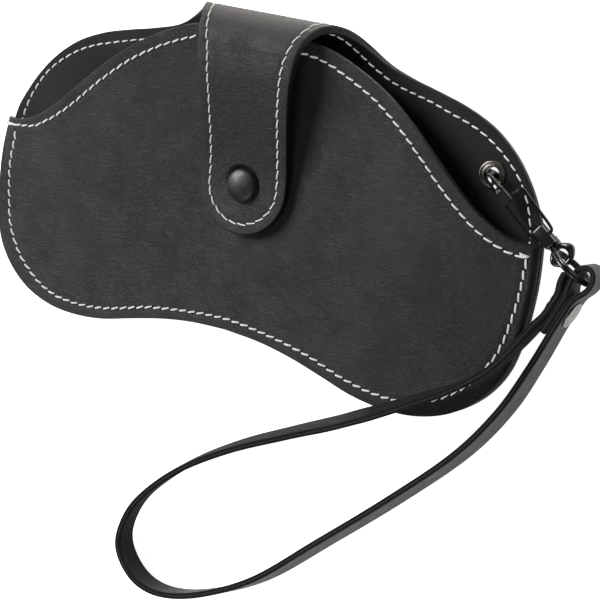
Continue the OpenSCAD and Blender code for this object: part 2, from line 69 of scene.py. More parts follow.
# Right halves of the outlines, as (x, y). The shoulder's y is the unrolled height.
BOTTOM = [[0, -42.9], [11.8, -43.6], [22.3, -45.3], [32.9, -47.9], [43.6, -50.7], [54, -51.8],
          [64, -51], [73.5, -47.6], [81.5, -41.3], [86.8, -33], [89.4, -22], [90.4, -11],
          [90.3, -4], [89.6, 3]]
MOUTH = [[0, 44.2], [11, 43.7], [21, 42.5], [31, 38.9], [41, 33.7], [50.5, 27], [58.5, 20.2],
         [65.5, 13.8], [72, 8.6], [77.5, 5.3], [82.3, 3.5], [86, 2.9], [88.2, 2.85], [89.6, 3]]
SHOULDER = [[0, FOLD_HALF], [7, FOLD_HALF], [14.5, FOLD_HALF], [21.8, FOLD_HALF], [24.6, 49.3],
            [28.2, 45.6], [34.5, 41.2], [43, 38.5], [52, 36.5], [61, 34.1], [70, 30.1],
            [77.5, 24.2], [83, 17.5], [86.8, 11], [88.7, 6.8], [89.6, 3]]
SHOULDER_CORNER = 3                     # row where the straight top ends
# Second half of the fold: (half width, degrees round the fold)
FOLD_WIDTH = np.array([[21.8, 90], [19.2, 117], [17.2, 148], [15.9, 180]], float)
# Outer face of the tab from the fold to the tip: (y, z)
TAB_SIDE = np.array([[FOLD_Y, 20.6], [32, 20.05], [25, 17.9], [18, 15.2], [11, 12.45],
                     [5, 10.35], [0, 9.3], [-5, 8.9], [-10, 8.75], [-14.2, 8.7]])


# ------------------------------------------------------------------ curves and surfaces
def smooth(t):
    t = np.clip(t, 0, 1)
    return t * t * (3 - 2 * t)


def bell(distance, width):
    return np.exp(-(distance / width) ** 2)


def catmull(before, start, end, after, t):
    return 0.5 * (2 * start + (end - before) * t
                  + (2 * before - 5 * start + 4 * end - after) * t * t
                  + (3 * start - before - 3 * end + after) * t ** 3)


def spline(points, along, corner=0):
    """Smooth curve at along in 0..1. Straight below row corner."""
    points = np.asarray(points, float)
    along = np.atleast_1d(np.asarray(along, float))
    last = len(points) - 1
    k = np.clip(np.floor(along * last).astype(int), 0, last - 1)
    t = (along * last - k)[:, None]
    start, end = points[k], points[k + 1]
    before = np.where((k > corner)[:, None], points[np.maximum(k - 1, 0)], 2 * start - end)
    after = np.where((k + 2 <= last)[:, None], points[np.minimum(k + 2, last)], 2 * end - start)
    curve = catmull(before, start, end, after, t)
    return np.where((k < corner)[:, None], start + (end - start) * t, curve)


def both_sides(points, along, corner=0):
    """The spline of a right half at along in -1..1, mirrored where along is negative."""
    curve = spline(points, np.abs(along), corner)
    curve[:, 0] *= np.sign(along)
    return curve


def arc_lengths(path):
    return np.concatenate([[0], np.cumsum(np.linalg.norm(np.diff(path, axis=0), axis=1))])


def sample(path, lengths, at):
    return np.stack([np.interp(at, lengths, column) for column in path.T], 1)


def resample(path, step):
    lengths = arc_lengths(path)
    count = max(2, int(round(lengths[-1] / step)) + 1)
    return sample(path, lengths, np.linspace(0, lengths[-1], count))


def unit(vectors):
    return vectors / np.linalg.norm(vectors, axis=1)[:, None]


def line_distance(points, line):
    """Distance from points (..., 2) to a polyline, and arc length of the nearest point."""
    flat = points.reshape(-1, 2)
    best = np.zeros(len(flat))
    arc = np.zeros(len(flat))
    starts = line[:-1]
    steps = line[1:] - starts
    squares = np.maximum((steps ** 2).sum(1), 1e-12)
    lengths = np.concatenate([[0], np.cumsum(np.sqrt(squares))])[:-1]
    for i in range(0, len(flat), 4000):         # in batches, to save memory
        part = flat[i:i + 4000]
        t = ((part[:, None] - starts[None]) * steps[None]).sum(2) / squares
        t = np.clip(t, 0, 1)
        near = starts[None] + t[:, :, None] * steps[None]
        distance = np.sqrt(((part[:, None] - near) ** 2).sum(2))
        k = distance.argmin(1)
        row = np.arange(len(part))
        best[i:i + 4000] = distance[row, k]
        arc[i:i + 4000] = lengths[k] + t[row, k] * np.sqrt(squares[k])
    return best.reshape(points.shape[:-1]), arc.reshape(points.shape[:-1])


def bevel(distance, radius):
    """Drop of a rounded edge at a distance in from it."""
    inside = np.clip(radius - distance, 0, radius)
    return radius - np.sqrt(np.maximum(radius * radius - inside * inside, 0))


def lift(x, y):
    return EAR_LIFT * smooth((x - 38) / 22) * smooth((y + 32) / 30)


def front_z(x, y, mouth_x, up):
    """Height of the front, at up in 0..1 from the bottom to the mouth."""
    rise = MOUTH_RISE * np.power(np.maximum(0, 1 - (mouth_x / 90) ** 2), 0.8)
    puff = PUFF * np.power(np.maximum(0, np.sin(np.pi * up)), 1.5)
    return (SEAM_Z + lift(x, y) + rise * up ** 2.6 + puff * bell(np.abs(x) - 50, 22)
            - SNAP_DIP * np.exp(-(x * x + y * y) / 196))


def tab_height(y):
    row_y, row_z = TAB_SIDE[::-1].T
    k = np.clip(np.searchsorted(row_y, y, side="right") - 1, 0, len(row_y) - 2)
    t = (y - row_y[k]) / (row_y[k + 1] - row_y[k])
    before = row_z[np.maximum(k - 1, 0)]
    after = np.where(k + 2 < len(row_z), row_z[np.minimum(k + 2, len(row_z) - 1)],
                     row_z[-1] + 0.3)
    return catmull(before, row_z[k], row_z[k + 1], after, t)


# Outer face of the tab, finely stepped: y, z, length from the fold and (y, z) normal
tab_y = np.linspace(FOLD_Y, TAB_TIP_Y, 900)
tab_z = tab_height(tab_y)
tab_run = np.concatenate([[0], np.cumsum(np.hypot(np.diff(tab_y), np.diff(tab_z)))])
tab_normal = unit(np.stack([-np.gradient(tab_z, tab_y), np.ones_like(tab_y)], 1))
TAB_LENGTH = tab_run[-1]
SNAP_RUN = FOLD_END + float(np.interp(0, tab_y[::-1], tab_run[::-1]))


def sheet(x, run, depth):
    """Point and outward normal of the back sheet and tab, at an unrolled height run and a
    depth below the outer face."""
    x, run, depth = np.broadcast_arrays(*(np.asarray(v, float) for v in (x, run, depth)))
    angle = np.clip((run - FOLD_Y) / FOLD_MID_R, 0, math.pi)
    radius = FOLD_R - depth
    flat = run <= FOLD_Y
    y = np.where(flat, run, FOLD_Y + radius * np.sin(angle))
    z = np.where(flat, depth, FOLD_R - radius * np.cos(angle))
    z = z + lift(x, np.minimum(run, FOLD_Y))
    along = np.clip(run - FOLD_END, 0, TAB_LENGTH)
    on_tab = run > FOLD_END
    tab_ny = np.interp(along, tab_run, tab_normal[:, 0])
    tab_nz = np.interp(along, tab_run, tab_normal[:, 1])
    y = np.where(on_tab, np.interp(along, tab_run, tab_y) - tab_ny * depth, y)
    z = np.where(on_tab, np.interp(along, tab_run, tab_z) - tab_nz * depth, z)
    normal_y = np.where(on_tab, tab_ny, np.sin(angle))
    normal_z = np.where(on_tab, tab_nz, -np.cos(angle))
    return grid_points(x, y, z), grid_points(0.0, normal_y, normal_z)


def grid_points(x, y, z):
    return np.stack(np.broadcast_arrays(x, y, z), -1)


# ------------------------------------------------------------------ mesh helpers
def new_mesh(name, verts, faces, mats, mat_index=None, rest=None, edge=None):
    """Object from points in mm. rest gives texture coordinates and edge the edge wear."""
    mesh = bpy.data.meshes.new(name)
    mesh.from_pydata([tuple(v) for v in np.asarray(verts) * MM], [],
                     [tuple(int(i) for i in face) for face in faces])
    for mat in mats:
        mesh.materials.append(mat)
    if mat_index is not None:
        mesh.polygons.foreach_set("material_index", np.asarray(mat_index, np.int32))
    mesh.polygons.foreach_set("use_smooth", np.full(len(mesh.polygons), True))
    attribute = mesh.attributes.new("rest", "FLOAT_VECTOR", "POINT")
    values = verts if rest is None else rest
    attribute.data.foreach_set("vector", np.asarray(values, np.float32).ravel())
    if edge is not None:
        attribute = mesh.attributes.new("edge", "FLOAT", "POINT")
        attribute.data.foreach_set("value", np.asarray(edge, np.float32))
    mesh.update()
    piece = bpy.data.objects.new(name, mesh)
    bpy.context.scene.collection.objects.link(piece)
    return piece


def register(piece, slot, carrier, *replaced):
    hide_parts(*replaced)
    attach(piece, carrier)


def slab(name, top, bottom, mats, rest_top, rest_bottom, edge):
    """Closed sheet from two grids of points, with a glue line round the middle of its wall.
    mats are for the top, the bottom and the wall."""
    steps, groove = 4, 0.07
    rows, cols = top.shape[:2]
    count = rows * cols
    index = np.arange(count).reshape(rows, cols)
    top, bottom, rest_top = (v.reshape(-1, 3) for v in (top, bottom, rest_top))
    verts = [top, bottom]
    rest = [rest_top, rest_bottom.reshape(-1, 3)]
    edges = [edge.ravel(), edge.ravel()]
    quads = np.stack([index[:-1, :-1], index[:-1, 1:], index[1:, 1:], index[1:, :-1]], -1)
    quads = quads.reshape(-1, 4)
    faces = [quads, quads[:, ::-1] + count]
    mat_index = [np.zeros(len(quads), int), np.ones(len(quads), int)]
    loop = np.concatenate([index[0, :], index[1:, -1], index[-1, -2::-1], index[-2:0:-1, 0]])
    upper, lower = top[loop], bottom[loop]
    middle = (upper + lower) / 2
    inward = np.cross(upper - lower, np.roll(middle, -1, 0) - np.roll(middle, 1, 0))
    size = np.linalg.norm(inward, axis=1)[:, None]
    inward = np.where(size > 1e-6, inward / np.maximum(size, 1e-6), 0)
    if ((middle - top.mean(0)) * inward).sum() > 0:
        inward = -inward
    rings = [loop]
    for k in range(1, steps):
        t = k / steps
        at_groove = k == steps // 2
        verts.append(upper + (lower - upper) * t + inward * (groove if at_groove else 0.0))
        rest.append(rest_top[loop] + [0, 0, -SHEET * t])
        edges.append(np.full(len(loop), 1.6 if at_groove else 1.0))
        rings.append(2 * count + (k - 1) * len(loop) + np.arange(len(loop)))
    rings.append(loop + count)
    for ring, after in zip(rings, rings[1:]):
        faces.append(np.stack([np.roll(ring, -1), ring, after, np.roll(after, -1)], -1))
        mat_index.append(np.full(len(loop), 2))
    verts = np.concatenate(verts)
    faces = np.concatenate(faces)
    first, second, third, fourth = (verts[faces[:, k]] for k in range(4))
    volume = (first * np.cross(second, third)).sum() + (first * np.cross(third, fourth)).sum()
    if volume < 0:
        faces = faces[:, ::-1]
    return new_mesh(name, verts, faces, mats, np.concatenate(mat_index),
                    np.concatenate(rest), np.concatenate(edges))


def boolean(piece, tool, operation):
    """Applies a boolean with tool, then removes tool."""
    modifier = piece.modifiers.new("boolean", "BOOLEAN")
    modifier.operation = operation
    modifier.object = tool
    modifier.solver = "EXACT"
    bpy.context.view_layer.update()
    graph = bpy.context.evaluated_depsgraph_get()
    done = bpy.data.meshes.new_from_object(piece.evaluated_get(graph),
                                           preserve_all_data_layers=True, depsgraph=graph)
    piece.modifiers.clear()
    old = piece.data
    piece.data = done
    done.name = piece.name
    bpy.data.meshes.remove(old)
    tool_mesh = tool.data
    bpy.data.objects.remove(tool)
    bpy.data.meshes.remove(tool_mesh)


def cut_hole(piece, x, y, radius, z_low, z_high):
    """Cuts a round hole whose side gets the wall material."""
    bm = bmesh.new()
    centre = (x * MM, y * MM, (z_low + z_high) / 2 * MM)
    bmesh.ops.create_cone(bm, cap_ends=True, segments=64, radius1=radius * MM,
                          radius2=radius * MM, depth=(z_high - z_low) * MM,
                          matrix=Matrix.Translation(centre))
    mesh = bpy.data.meshes.new("cutter")
    bm.to_mesh(mesh)
    bm.free()
    for _ in range(3):
        mesh.materials.append(piece.data.materials[2])
    mesh.polygons.foreach_set("material_index", np.full(len(mesh.polygons), 2, np.int32))
    tool = bpy.data.objects.new("cutter", mesh)
    bpy.context.scene.collection.objects.link(tool)
    boolean(piece, tool, "DIFFERENCE")


def revolve(profile, seg):
    """Verts and faces of a profile of (radius, z) turned about z."""
    angles = np.arange(seg) / seg * 2 * math.pi
    verts, faces, rings = [], [], []
    for radius, z in profile:
        if radius < 1e-6:
            rings.append([len(verts)] * seg)
            verts.append([0, 0, z])
        else:
            rings.append(list(range(len(verts), len(verts) + seg)))
            verts += [[radius * math.cos(a), radius * math.sin(a), z] for a in angles]
    for ring, after in zip(rings, rings[1:]):
        for i in range(seg):
            j = (i + 1) % seg
            face = list(dict.fromkeys([ring[i], ring[j], after[j], after[i]]))
            if len(face) > 2:
                faces.append(face)
    return np.array(verts, float), faces


def lathe(name, profile, mat, place=Matrix.Identity(4)):
    verts, faces = revolve(profile, 96)
    return new_mesh(name, np.array([list(place @ Vector(v)) for v in verts]), faces, [mat])


def ring_faces(rings, sides):
    """Faces along a row of rings, then its two end caps."""
    faces = []
    for i in range(rings - 1):
        for k in range(sides):
            j = (k + 1) % sides
            faces.append([i * sides + k, i * sides + j, (i + 1) * sides + j,
                          (i + 1) * sides + k])
    faces.append(list(range(sides))[::-1])
    faces.append([(rings - 1) * sides + k for k in range(sides)])
    return faces


def tube(path, radius, sides, flat=1.0, up=(0, 0, 1)):
    """Verts and faces of a tube. flat scales it along up."""
    path = np.asarray(path, float)
    count = len(path)
    radius = np.broadcast_to(np.asarray(radius, float), (count,))
    along = unit(np.gradient(path, axis=0))
    up = np.asarray(up, float)
    upward = up - (along @ up)[:, None] * along
    steep = np.linalg.norm(upward, axis=1) < 0.15
    # carry the frame along where the path runs close to the up direction
    frames = np.zeros_like(path)
    last = None
    for i in range(count):
        axis = upward[i]
        if steep[i] and last is not None:
            axis = last - (last @ along[i]) * along[i]
        if np.linalg.norm(axis) < 1e-6:
            axis = np.cross(along[i], [1, 0, 0])
        axis = axis / np.linalg.norm(axis)
        if last is not None and axis @ last < 0:
            axis = -axis
        frames[i] = last = axis
    sideways = np.cross(along, frames)
    angles = np.arange(sides) / sides * 2 * math.pi
    rings = (np.cos(angles)[None, :, None] * frames[:, None] * flat
             + np.sin(angles)[None, :, None] * sideways[:, None])
    verts = (path[:, None] + radius[:, None, None] * rings).reshape(-1, 3)
    return verts, ring_faces(count, sides)


def join_parts(parts):
    all_verts, all_faces, offset = [], [], 0
    for verts, faces in parts:
        all_verts.append(np.asarray(verts, float))
        all_faces += [[i + offset for i in face] for face in faces]
        offset += len(verts)
    return np.concatenate(all_verts), all_faces


# ------------------------------------------------------------------ materials
class Shader:
    """A material with one Principled node, and short calls that wire nodes to it."""

    def __init__(self, name):
        self.material = bpy.data.materials.new(name)
        self.material.use_nodes = True
        self.tree = self.material.node_tree
        self.tree.nodes.clear()
        output = self.node("OutputMaterial")
        self.bsdf = self.node("BsdfPrincipled")
        self.tree.links.new(self.bsdf.outputs[0], output.inputs[0])

    def node(self, kind, sockets=None, **settings):
        """New node. sockets maps its inputs to constants or to outputs of other nodes."""
        node = self.tree.nodes.new("ShaderNode" + kind)
        for key, value in settings.items():
            setattr(node, key, value)
        self.fill(node, sockets or {})
        return node

    def fill(self, node, sockets):
        for key, value in sockets.items():
            if isinstance(value, (int, float, tuple)):
                node.inputs[key].default_value = value
            else:
                self.tree.links.new(value, node.inputs[key])

    def surface(self, sockets):
        self.fill(self.bsdf, sockets)

    def rest(self):
        return self.node("Attribute", attribute_name="rest").outputs["Vector"]

    def edge(self):
        return self.node("Attribute", attribute_name="edge").outputs["Fac"]

    def object_mm(self):
        coords = self.node("TexCoord").outputs["Object"]
        return self.node("VectorMath", {0: coords, "Scale": 1000}, operation="SCALE").outputs[0]

    def axes(self, vector):
        return self.node("SeparateXYZ", {0: vector}).outputs

    def mapping(self, vector, scale, rot=(0, 0, 0)):
        return self.node("Mapping", {0: vector, "Scale": scale, "Rotation": rot}).outputs[0]

    def noise(self, vector, scale, detail=3, rough=0.55, warp=0, output="Fac"):
        return self.node("TexNoise", {"Vector": vector, "Scale": scale, "Detail": detail,
                                      "Roughness": rough, "Distortion": warp}).outputs[output]

    def cells(self, vector):
        return self.node("TexVoronoi", {"Vector": vector, "Scale": 1.0},
                         feature="DISTANCE_TO_EDGE").outputs["Distance"]

    def ramp(self, value, span, to=(0.0, 1.0)):
        """Eases value from the range span to the range to."""
        return self.node("MapRange", {"Value": value, "From Min": span[0], "From Max": span[1],
                                      "To Min": to[0], "To Max": to[1]},
                         interpolation_type="SMOOTHSTEP").outputs["Result"]

    def math(self, operation, first, second=0.0, third=0.0):
        return self.node("Math", {0: first, 1: second, 2: third},
                         operation=operation).outputs[0]

    def mul_add(self, value, factor, plus):
        return self.math("MULTIPLY_ADD", value, factor, plus)

    def mix(self, factor, first, second):
        first, second = ((*c, 1) if isinstance(c, tuple) else c for c in (first, second))
        return self.node("Mix", {0: factor, 6: first, 7: second}, data_type="RGBA").outputs[2]

    def bump(self, height, distance):
        return self.node("Bump", {"Height": height, "Distance": distance,
                                  "Strength": 1.0}).outputs[0]


def shade(color, factor):
    return tuple(x * factor for x in color)


def leather(name, base, edge_color, *, rough, stretch, size, bump, spec, angle=0.25,
            sheen=0.0, low_color=None):
    """Grained leather. size is the grain in mm, and low_color tints it towards -y."""
    mat = Shader(name)
    rest = mat.rest()
    # wander the coordinates a little so that the cells don't look drawn
    wander = mat.noise(rest, scale=0.35, detail=2, rough=0.5, output="Color")
    coords = mat.node("VectorMath", {0: wander, 1: (1.6, 1.6, 0.4), 2: rest},
                      operation="MULTIPLY_ADD").outputs[0]
    coarse = mat.mapping(coords, (1 / (size * stretch), 1 / size, 0.5), rot=(0, 0, angle))
    small = mat.mapping(coords, (1 / (size * stretch * 0.45), 1 / (size * 0.5), 0.5),
                        rot=(0, 0, angle - 0.3))
    coarse = mat.ramp(mat.cells(coarse), (0.0, 0.16))
    small = mat.ramp(mat.cells(small), (0.0, 0.2))
    fine = mat.noise(rest, scale=5.5, detail=4, rough=0.7)
    wrinkles = mat.noise(mat.mapping(coords, (0.10, 0.55, 0.2), rot=(0, 0, angle)),
                         scale=2.2, detail=4, rough=0.62, warp=0.6)
    patches = mat.noise(rest, scale=0.035, rough=0.5)
    strength = mat.ramp(mat.noise(rest, scale=0.11, detail=2, rough=0.5), (0.3, 0.7),
                        to=(0.55, 1.0))
    height = mat.mul_add(coarse, 0.55, 0.0)
    height = mat.mul_add(small, 0.28, height)
    height = mat.mul_add(fine, 0.35, height)
    height = mat.math("MULTIPLY", height, strength)
    height = mat.mul_add(wrinkles, 1.5, height)
    normal = mat.bump(height, bump)
    color = mat.mix(mat.ramp(coarse, (0, 1)), shade(base, 0.62), base)
    color = mat.mix(mat.ramp(patches, (0.35, 0.7), to=(0, 0.35)), color, shade(base, 1.35))
    if low_color is not None:
        low = mat.ramp(mat.axes(rest)[1], (-20.0, -50.0), to=(0, 0.8))
        color = mat.mix(low, color, low_color)
    roughness = mat.ramp(mat.mul_add(fine, 0.5, mat.math("MULTIPLY", patches, 0.5)),
                         (0.3, 0.7), to=rough)
    worn = mat.ramp(mat.edge(), (0.25, 0.9))
    color = mat.mix(worn, color, edge_color)
    roughness = mat.math("ADD", roughness, mat.math("MULTIPLY", worn, -0.05))
    mat.surface({"Base Color": color, "Roughness": roughness, "Normal": normal,
                 "Specular IOR Level": spec})
    if sheen:
        mat.surface({"Sheen Weight": sheen, "Sheen Roughness": 0.5})
    return mat.material


def edge_paint(name, base, line):
    """Painted sheet wall, with the colour line along its groove."""
    mat = Shader(name)
    rest = mat.rest()
    edge = mat.edge()
    streaks = mat.noise(mat.mapping(rest, (0.6, 0.6, 2.5)), scale=1.5, detail=4, rough=0.6)
    fine = mat.noise(rest, scale=6.0, rough=0.6)
    color = mat.mix(mat.ramp(streaks, (0.3, 0.7)), base, shade(base, 1.5))
    color = mat.mix(mat.ramp(edge, (1.1, 1.55)), color, line)
    mat.surface({"Base Color": color,
                 "Roughness": mat.ramp(streaks, (0.3, 0.7), to=(0.38, 0.6)),
                 "Normal": mat.bump(mat.mul_add(fine, 0.6, streaks), 0.00015)})
    return mat.material


def thread_material(name, base):
    """Twisted thread, which glows faintly as painted light so that it reads brighter. rest
    holds (length along the stitch, angle round it, number).
    """
    mat = Shader(name)
    rest = mat.rest()
    axes = mat.axes(rest)
    twist = mat.math("SINE", mat.mul_add(axes[0], 9.5, mat.math("MULTIPLY", axes[1], 1.0)))
    fibres = mat.noise(mat.mapping(rest, (9, 2, 3)), scale=2.0, rough=0.6)
    height = mat.mul_add(fibres, 0.5, twist)
    vary = mat.noise(mat.mapping(rest, (0.1, 0.1, 7.3)), scale=1.0, detail=1, rough=0.5)
    color = mat.mix(mat.ramp(twist, (-1, 0.2)), shade(base, 0.74), base)
    color = mat.mix(mat.ramp(vary, (0.3, 0.7), to=(0, 0.25)), color, shade(base, 0.8))
    # the emission is painted light: the thread glows a little, though it is no lamp
    mat.surface({"Base Color": color, "Roughness": 0.62, "Emission Color": color,
                 "Emission Strength": 0.27, "Specular IOR Level": 0.35,
                 "Sheen Weight": 0.25, "Normal": mat.bump(height, 0.00007)})
    return mat.material


def hole_material(name):
    mat = Shader(name)
    noise = mat.noise(mat.rest(), scale=3.0)
    # near black: painted shade of the depth of a needle hole
    color = mat.mix(noise, (0.002, 0.002, 0.002), (0.006, 0.006, 0.006))
    mat.surface({"Base Color": color, "Roughness": 0.9})
    return mat.material


def metal(name, base, rough, rest=False, coat=0.0, metallic=1.0, scratches=1.0):
    """Scratched metal, on the rest attribute or else on object coordinates."""
    mat = Shader(name)
    coords = mat.rest() if rest else mat.object_mm()
    streaks = mat.noise(mat.mapping(coords, (0.4, 3.0, 3.0), rot=(0.3, 0.2, 0.5)),
                        scale=3.0, detail=4, rough=0.6)
    patches = mat.noise(coords, scale=0.6, rough=0.6)
    fine = mat.noise(coords, scale=9.0, rough=0.7)
    color = mat.mix(mat.ramp(patches, (0.35, 0.7), to=(0, 0.6)), base, shade(base, 0.6))
    roughness = mat.ramp(mat.mul_add(streaks, 0.5, mat.math("MULTIPLY", patches, 0.5)),
                         (0.3, 0.7), to=(rough * 0.7, rough * 1.5))
    mat.surface({"Base Color": color, "Roughness": roughness, "Metallic": metallic,
                 "Coat Weight": coat, "Coat Roughness": 0.08,
                 "Normal": mat.bump(mat.mul_add(fine, 0.4, streaks), 0.00002 * scratches)})
    return mat.material


WORN_EDGE = (0.0085, 0.0083, 0.0082)
NICKEL = (0.10, 0.097, 0.094)
outer_leather = leather("leather_black_out", (0.0200, 0.0200, 0.0203), WORN_EDGE,
                        low_color=(0.0235, 0.0222, 0.0212), rough=(0.46, 0.6), stretch=1.5,
                        size=0.62, bump=0.00018, spec=0.42)
# the tab is a darker copy of the outer leather: painted shade, since the same sheet carries on
# over the fold
tab_leather_shaded = leather("leather_black_tab", (0.0175, 0.0175, 0.0178), WORN_EDGE, angle=-0.1,
                      rough=(0.44, 0.58), stretch=1.4, size=0.62, bump=0.00012, spec=0.42)
lining = leather("leather_lining", (0.0062, 0.006, 0.0058), (0.006, 0.0058, 0.0058),
                 rough=(0.66, 0.84), stretch=1.3, size=0.45, bump=0.00005, spec=0.3, sheen=0.08)
wall_paint = edge_paint("edge_paint", base=(0.0075, 0.0072, 0.007), line=(0.003, 0.003, 0.003))
white_thread = thread_material("thread_white", base=(0.96, 0.95, 0.92))
needle_hole_shade = hole_material("needle_hole_shade")
snap_black = metal("snap_black", (0.007, 0.007, 0.0075), rough=0.4, rest=True, coat=0.12,
                   metallic=0.0, scratches=0.3)
snap_metal = metal("snap_metal", (0.06, 0.06, 0.065), rough=0.32)
nickel = metal("black_nickel", NICKEL, rough=0.17, coat=0.4)
nickel_rest = metal("black_nickel_a", NICKEL, rough=0.2, rest=True, coat=0.4, scratches=0.4)
gunmetal = metal("gunmetal", (0.24, 0.225, 0.205), rough=0.22, rest=True, scratches=0.4)
rivet_silver = metal("rivet_silver", (0.42, 0.41, 0.39), rough=0.3, rest=True)


# ------------------------------------------------------------------ stitch lines
def left_and_right(left, right):
    """One line from the mirrored left half to the right half."""
    return np.concatenate([(left * [-1, 1])[::-1][:-1], right])


# Right half of the seam near the bottom edge: (x, y)
SEAM = [[0, -39.6], [9.8, -40.3], [26.6, -42.8], [41.7, -46.9], [54.3, -48.3], [65.5, -46.5],
        [76, -39.7], [82.3, -30.8], [85.0, -23.5], [86.8, -13.6], [87.3, -6], [87.4, -0.4]]
seam_right = spline(SEAM, np.linspace(0, 1, 300))
seam_left = seam_right.copy()
seam_left[:, 0] -= (0.8 * smooth((seam_left[:, 1] + 34) / 14)
                    + 1.1 * smooth((seam_left[:, 1] + 12) / 10))
seam_left = seam_left[seam_left[:, 1] < 0.6]
seam_line = left_and_right(seam_left, seam_right)

MOUTH_INSET = 3.7
mouth_edge = spline(MOUTH, np.linspace(0, 11.3 / 13, 300))
mouth_along = unit(np.gradient(mouth_edge, axis=0))
mouth_inward = np.stack([mouth_along[:, 1], -mouth_along[:, 0]], 1)
mouth_right = mouth_edge + mouth_inward * MOUTH_INSET
mouth_right = np.concatenate([mouth_right[mouth_right[:, 0] < 85.4], [[87.4, -0.55]]])
left_inset = (MOUTH_INSET - 0.4 * bell(mouth_edge[:, 0] - 56, 22)
              - 0.55 * smooth((mouth_edge[:, 0] - 64) / 12))
mouth_left = mouth_edge + mouth_inward * left_inset[:, None]
mouth_left = np.concatenate([mouth_left[mouth_left[:, 0] < 76.5],
                             [[79.2, 1.85], [81.8, 1.45], [84.4, 1.2], [86.6, 1.05]]])
mouth_line = left_and_right(mouth_left, mouth_right)

# Line on the unrolled back sheet, from the right corner up to the snap: (x, unrolled height)
TAB_LINE_R = 11.2
SHOULDER_LINE = [[86, 0], [86.1, 4.4], [83.5, 12.3], [79.1, 19.3], [71.8, 25.6], [63.2, 29.8],
                 [49.7, 33.6], [40.2, 35.6], [33.5, 38.1], [26.9, 42.45], [21.8, 48.1],
                 [17.6, 54.6], [15.4, 60], [13.6, 64.8], [12.3, 69.5], [11.7, 76],
                 [TAB_LINE_R, 88], [TAB_LINE_R, SNAP_RUN]]
tab_arc = [[TAB_LINE_R * math.cos(a), SNAP_RUN + TAB_LINE_R * math.sin(a)]
           for a in np.linspace(0, math.pi / 2, 40)[1:]]
sheet_line = np.concatenate([spline(SHOULDER_LINE, np.linspace(0, 1, 600)), tab_arc])
sheet_line = np.concatenate([sheet_line, (sheet_line * [-1, 1])[::-1][1:]])

# ------------------------------------------------------------------ leather panels
PANEL_ROWS = 110
SPREAD = math.pi / 2 * 0.86
panel_along = np.sin(np.linspace(-1, 1, 330) * SPREAD) / math.sin(SPREAD) * 0.9985
bottom_edge = both_sides(BOTTOM, panel_along)
ROW_INSETS = np.array([0, 0.05, 0.12, 0.22, 0.36, 0.55, 0.85, 1.3])     # mm in from an edge


def row_places(count, length):
    """Row places in 0..1 along length, close together at both ends."""
    ends = ROW_INSETS * min(1.0, length / 8.0)
    middle = np.linspace(ends[-1], length - ends[-1], count - 2 * len(ends) + 2)[1:-1]
    return np.concatenate([ends, middle, (length - ends)[::-1]]) / length


def panel_grid(low, high):
    """Grid of points between two edges, and the place of each in 0..1."""
    lengths = np.linalg.norm(high - low, axis=1)
    up = np.stack([row_places(PANEL_ROWS, max(v, 0.05)) for v in lengths])
    return low[:, None] + (high - low)[:, None] * up[:, :, None], up


def ripple(x, y, height, seed):
    random = np.random.default_rng(seed)
    z = np.zeros_like(x)
    for _ in range(9):
        angle = random.uniform(0, 2 * math.pi)
        rate = random.uniform(0.05, 0.16)
        phase = random.uniform(0, 6.28)
        z += np.sin((x * math.cos(angle) * 0.7 + y * math.sin(angle)) * rate * 2 + phase)
    return height * z / 4


def press(radius, z, target, inner, outer, limit=np.minimum):
    """Limits z to target within the radius inner, easing out to the radius outer."""
    return z + (limit(z, target) - z) * (1 - smooth((radius - inner) / (outer - inner)))


def pucker(distance, along, width=0.75, depth=0.2):
    """Depth of the leather pulled in along a line of stitches."""
    waves = 0.75 + 0.25 * np.cos(along / STITCH_PITCH * 2 * math.pi)
    return depth * bell(distance, width) * waves


def make_front():
    mouth = both_sides(MOUTH, panel_along)
    grid, up = panel_grid(bottom_edge, mouth)
    x, y = grid[..., 0], grid[..., 1]
    outline = np.concatenate([bottom_edge, mouth[::-1], bottom_edge[:1]])
    to_edge, _ = line_distance(grid, outline)
    to_seam, seam_at = line_distance(grid, seam_line)
    to_mouth, mouth_at = line_distance(grid, mouth_line)
    base = front_z(x, y, np.broadcast_to(mouth[:, None, 0], x.shape), up)
    z = base + ripple(x, y, 0.22, 3) * smooth((to_edge - 5) / 14)
    top = (z - pucker(to_seam, seam_at) - pucker(to_mouth, mouth_at, depth=0.17)
           + 0.07 * bell(to_seam - 1.7, 0.9) + 0.06 * bell(to_mouth - 1.6, 0.8))
    edge_radius = 0.45 + 1.45 * smooth((x - 76) / 8)
    from_snap = np.hypot(x, y)
    top = press(from_snap, top - bevel(to_edge, edge_radius), STUD_Z - 0.03, 4.5, 6.0)
    under = base - SHEET + 0.04 + bevel(to_edge, 0.35)
    under = press(from_snap, under, SNAP_Z - SHEET + 0.28, 4.15, 5.0, np.maximum)
    edge = np.where(x > 70, np.clip(1.25 - to_edge / (edge_radius + 0.25), 0, 1),
                    np.clip(1 - to_edge / 0.55, 0, 1))
    piece = slab("pouch_front", grid_points(x, y, top), grid_points(x, y, under),
                 [outer_leather, lining, wall_paint], grid_points(x, y, z * 0.3),
                 grid_points(x, y, z * 0.3 + 50), edge)
    cut_hole(piece, 0, 0, radius=1.62, z_low=0, z_high=12)
    register(piece, "leather_black", "pouch", "front_outer", "front_lining")
    return piece


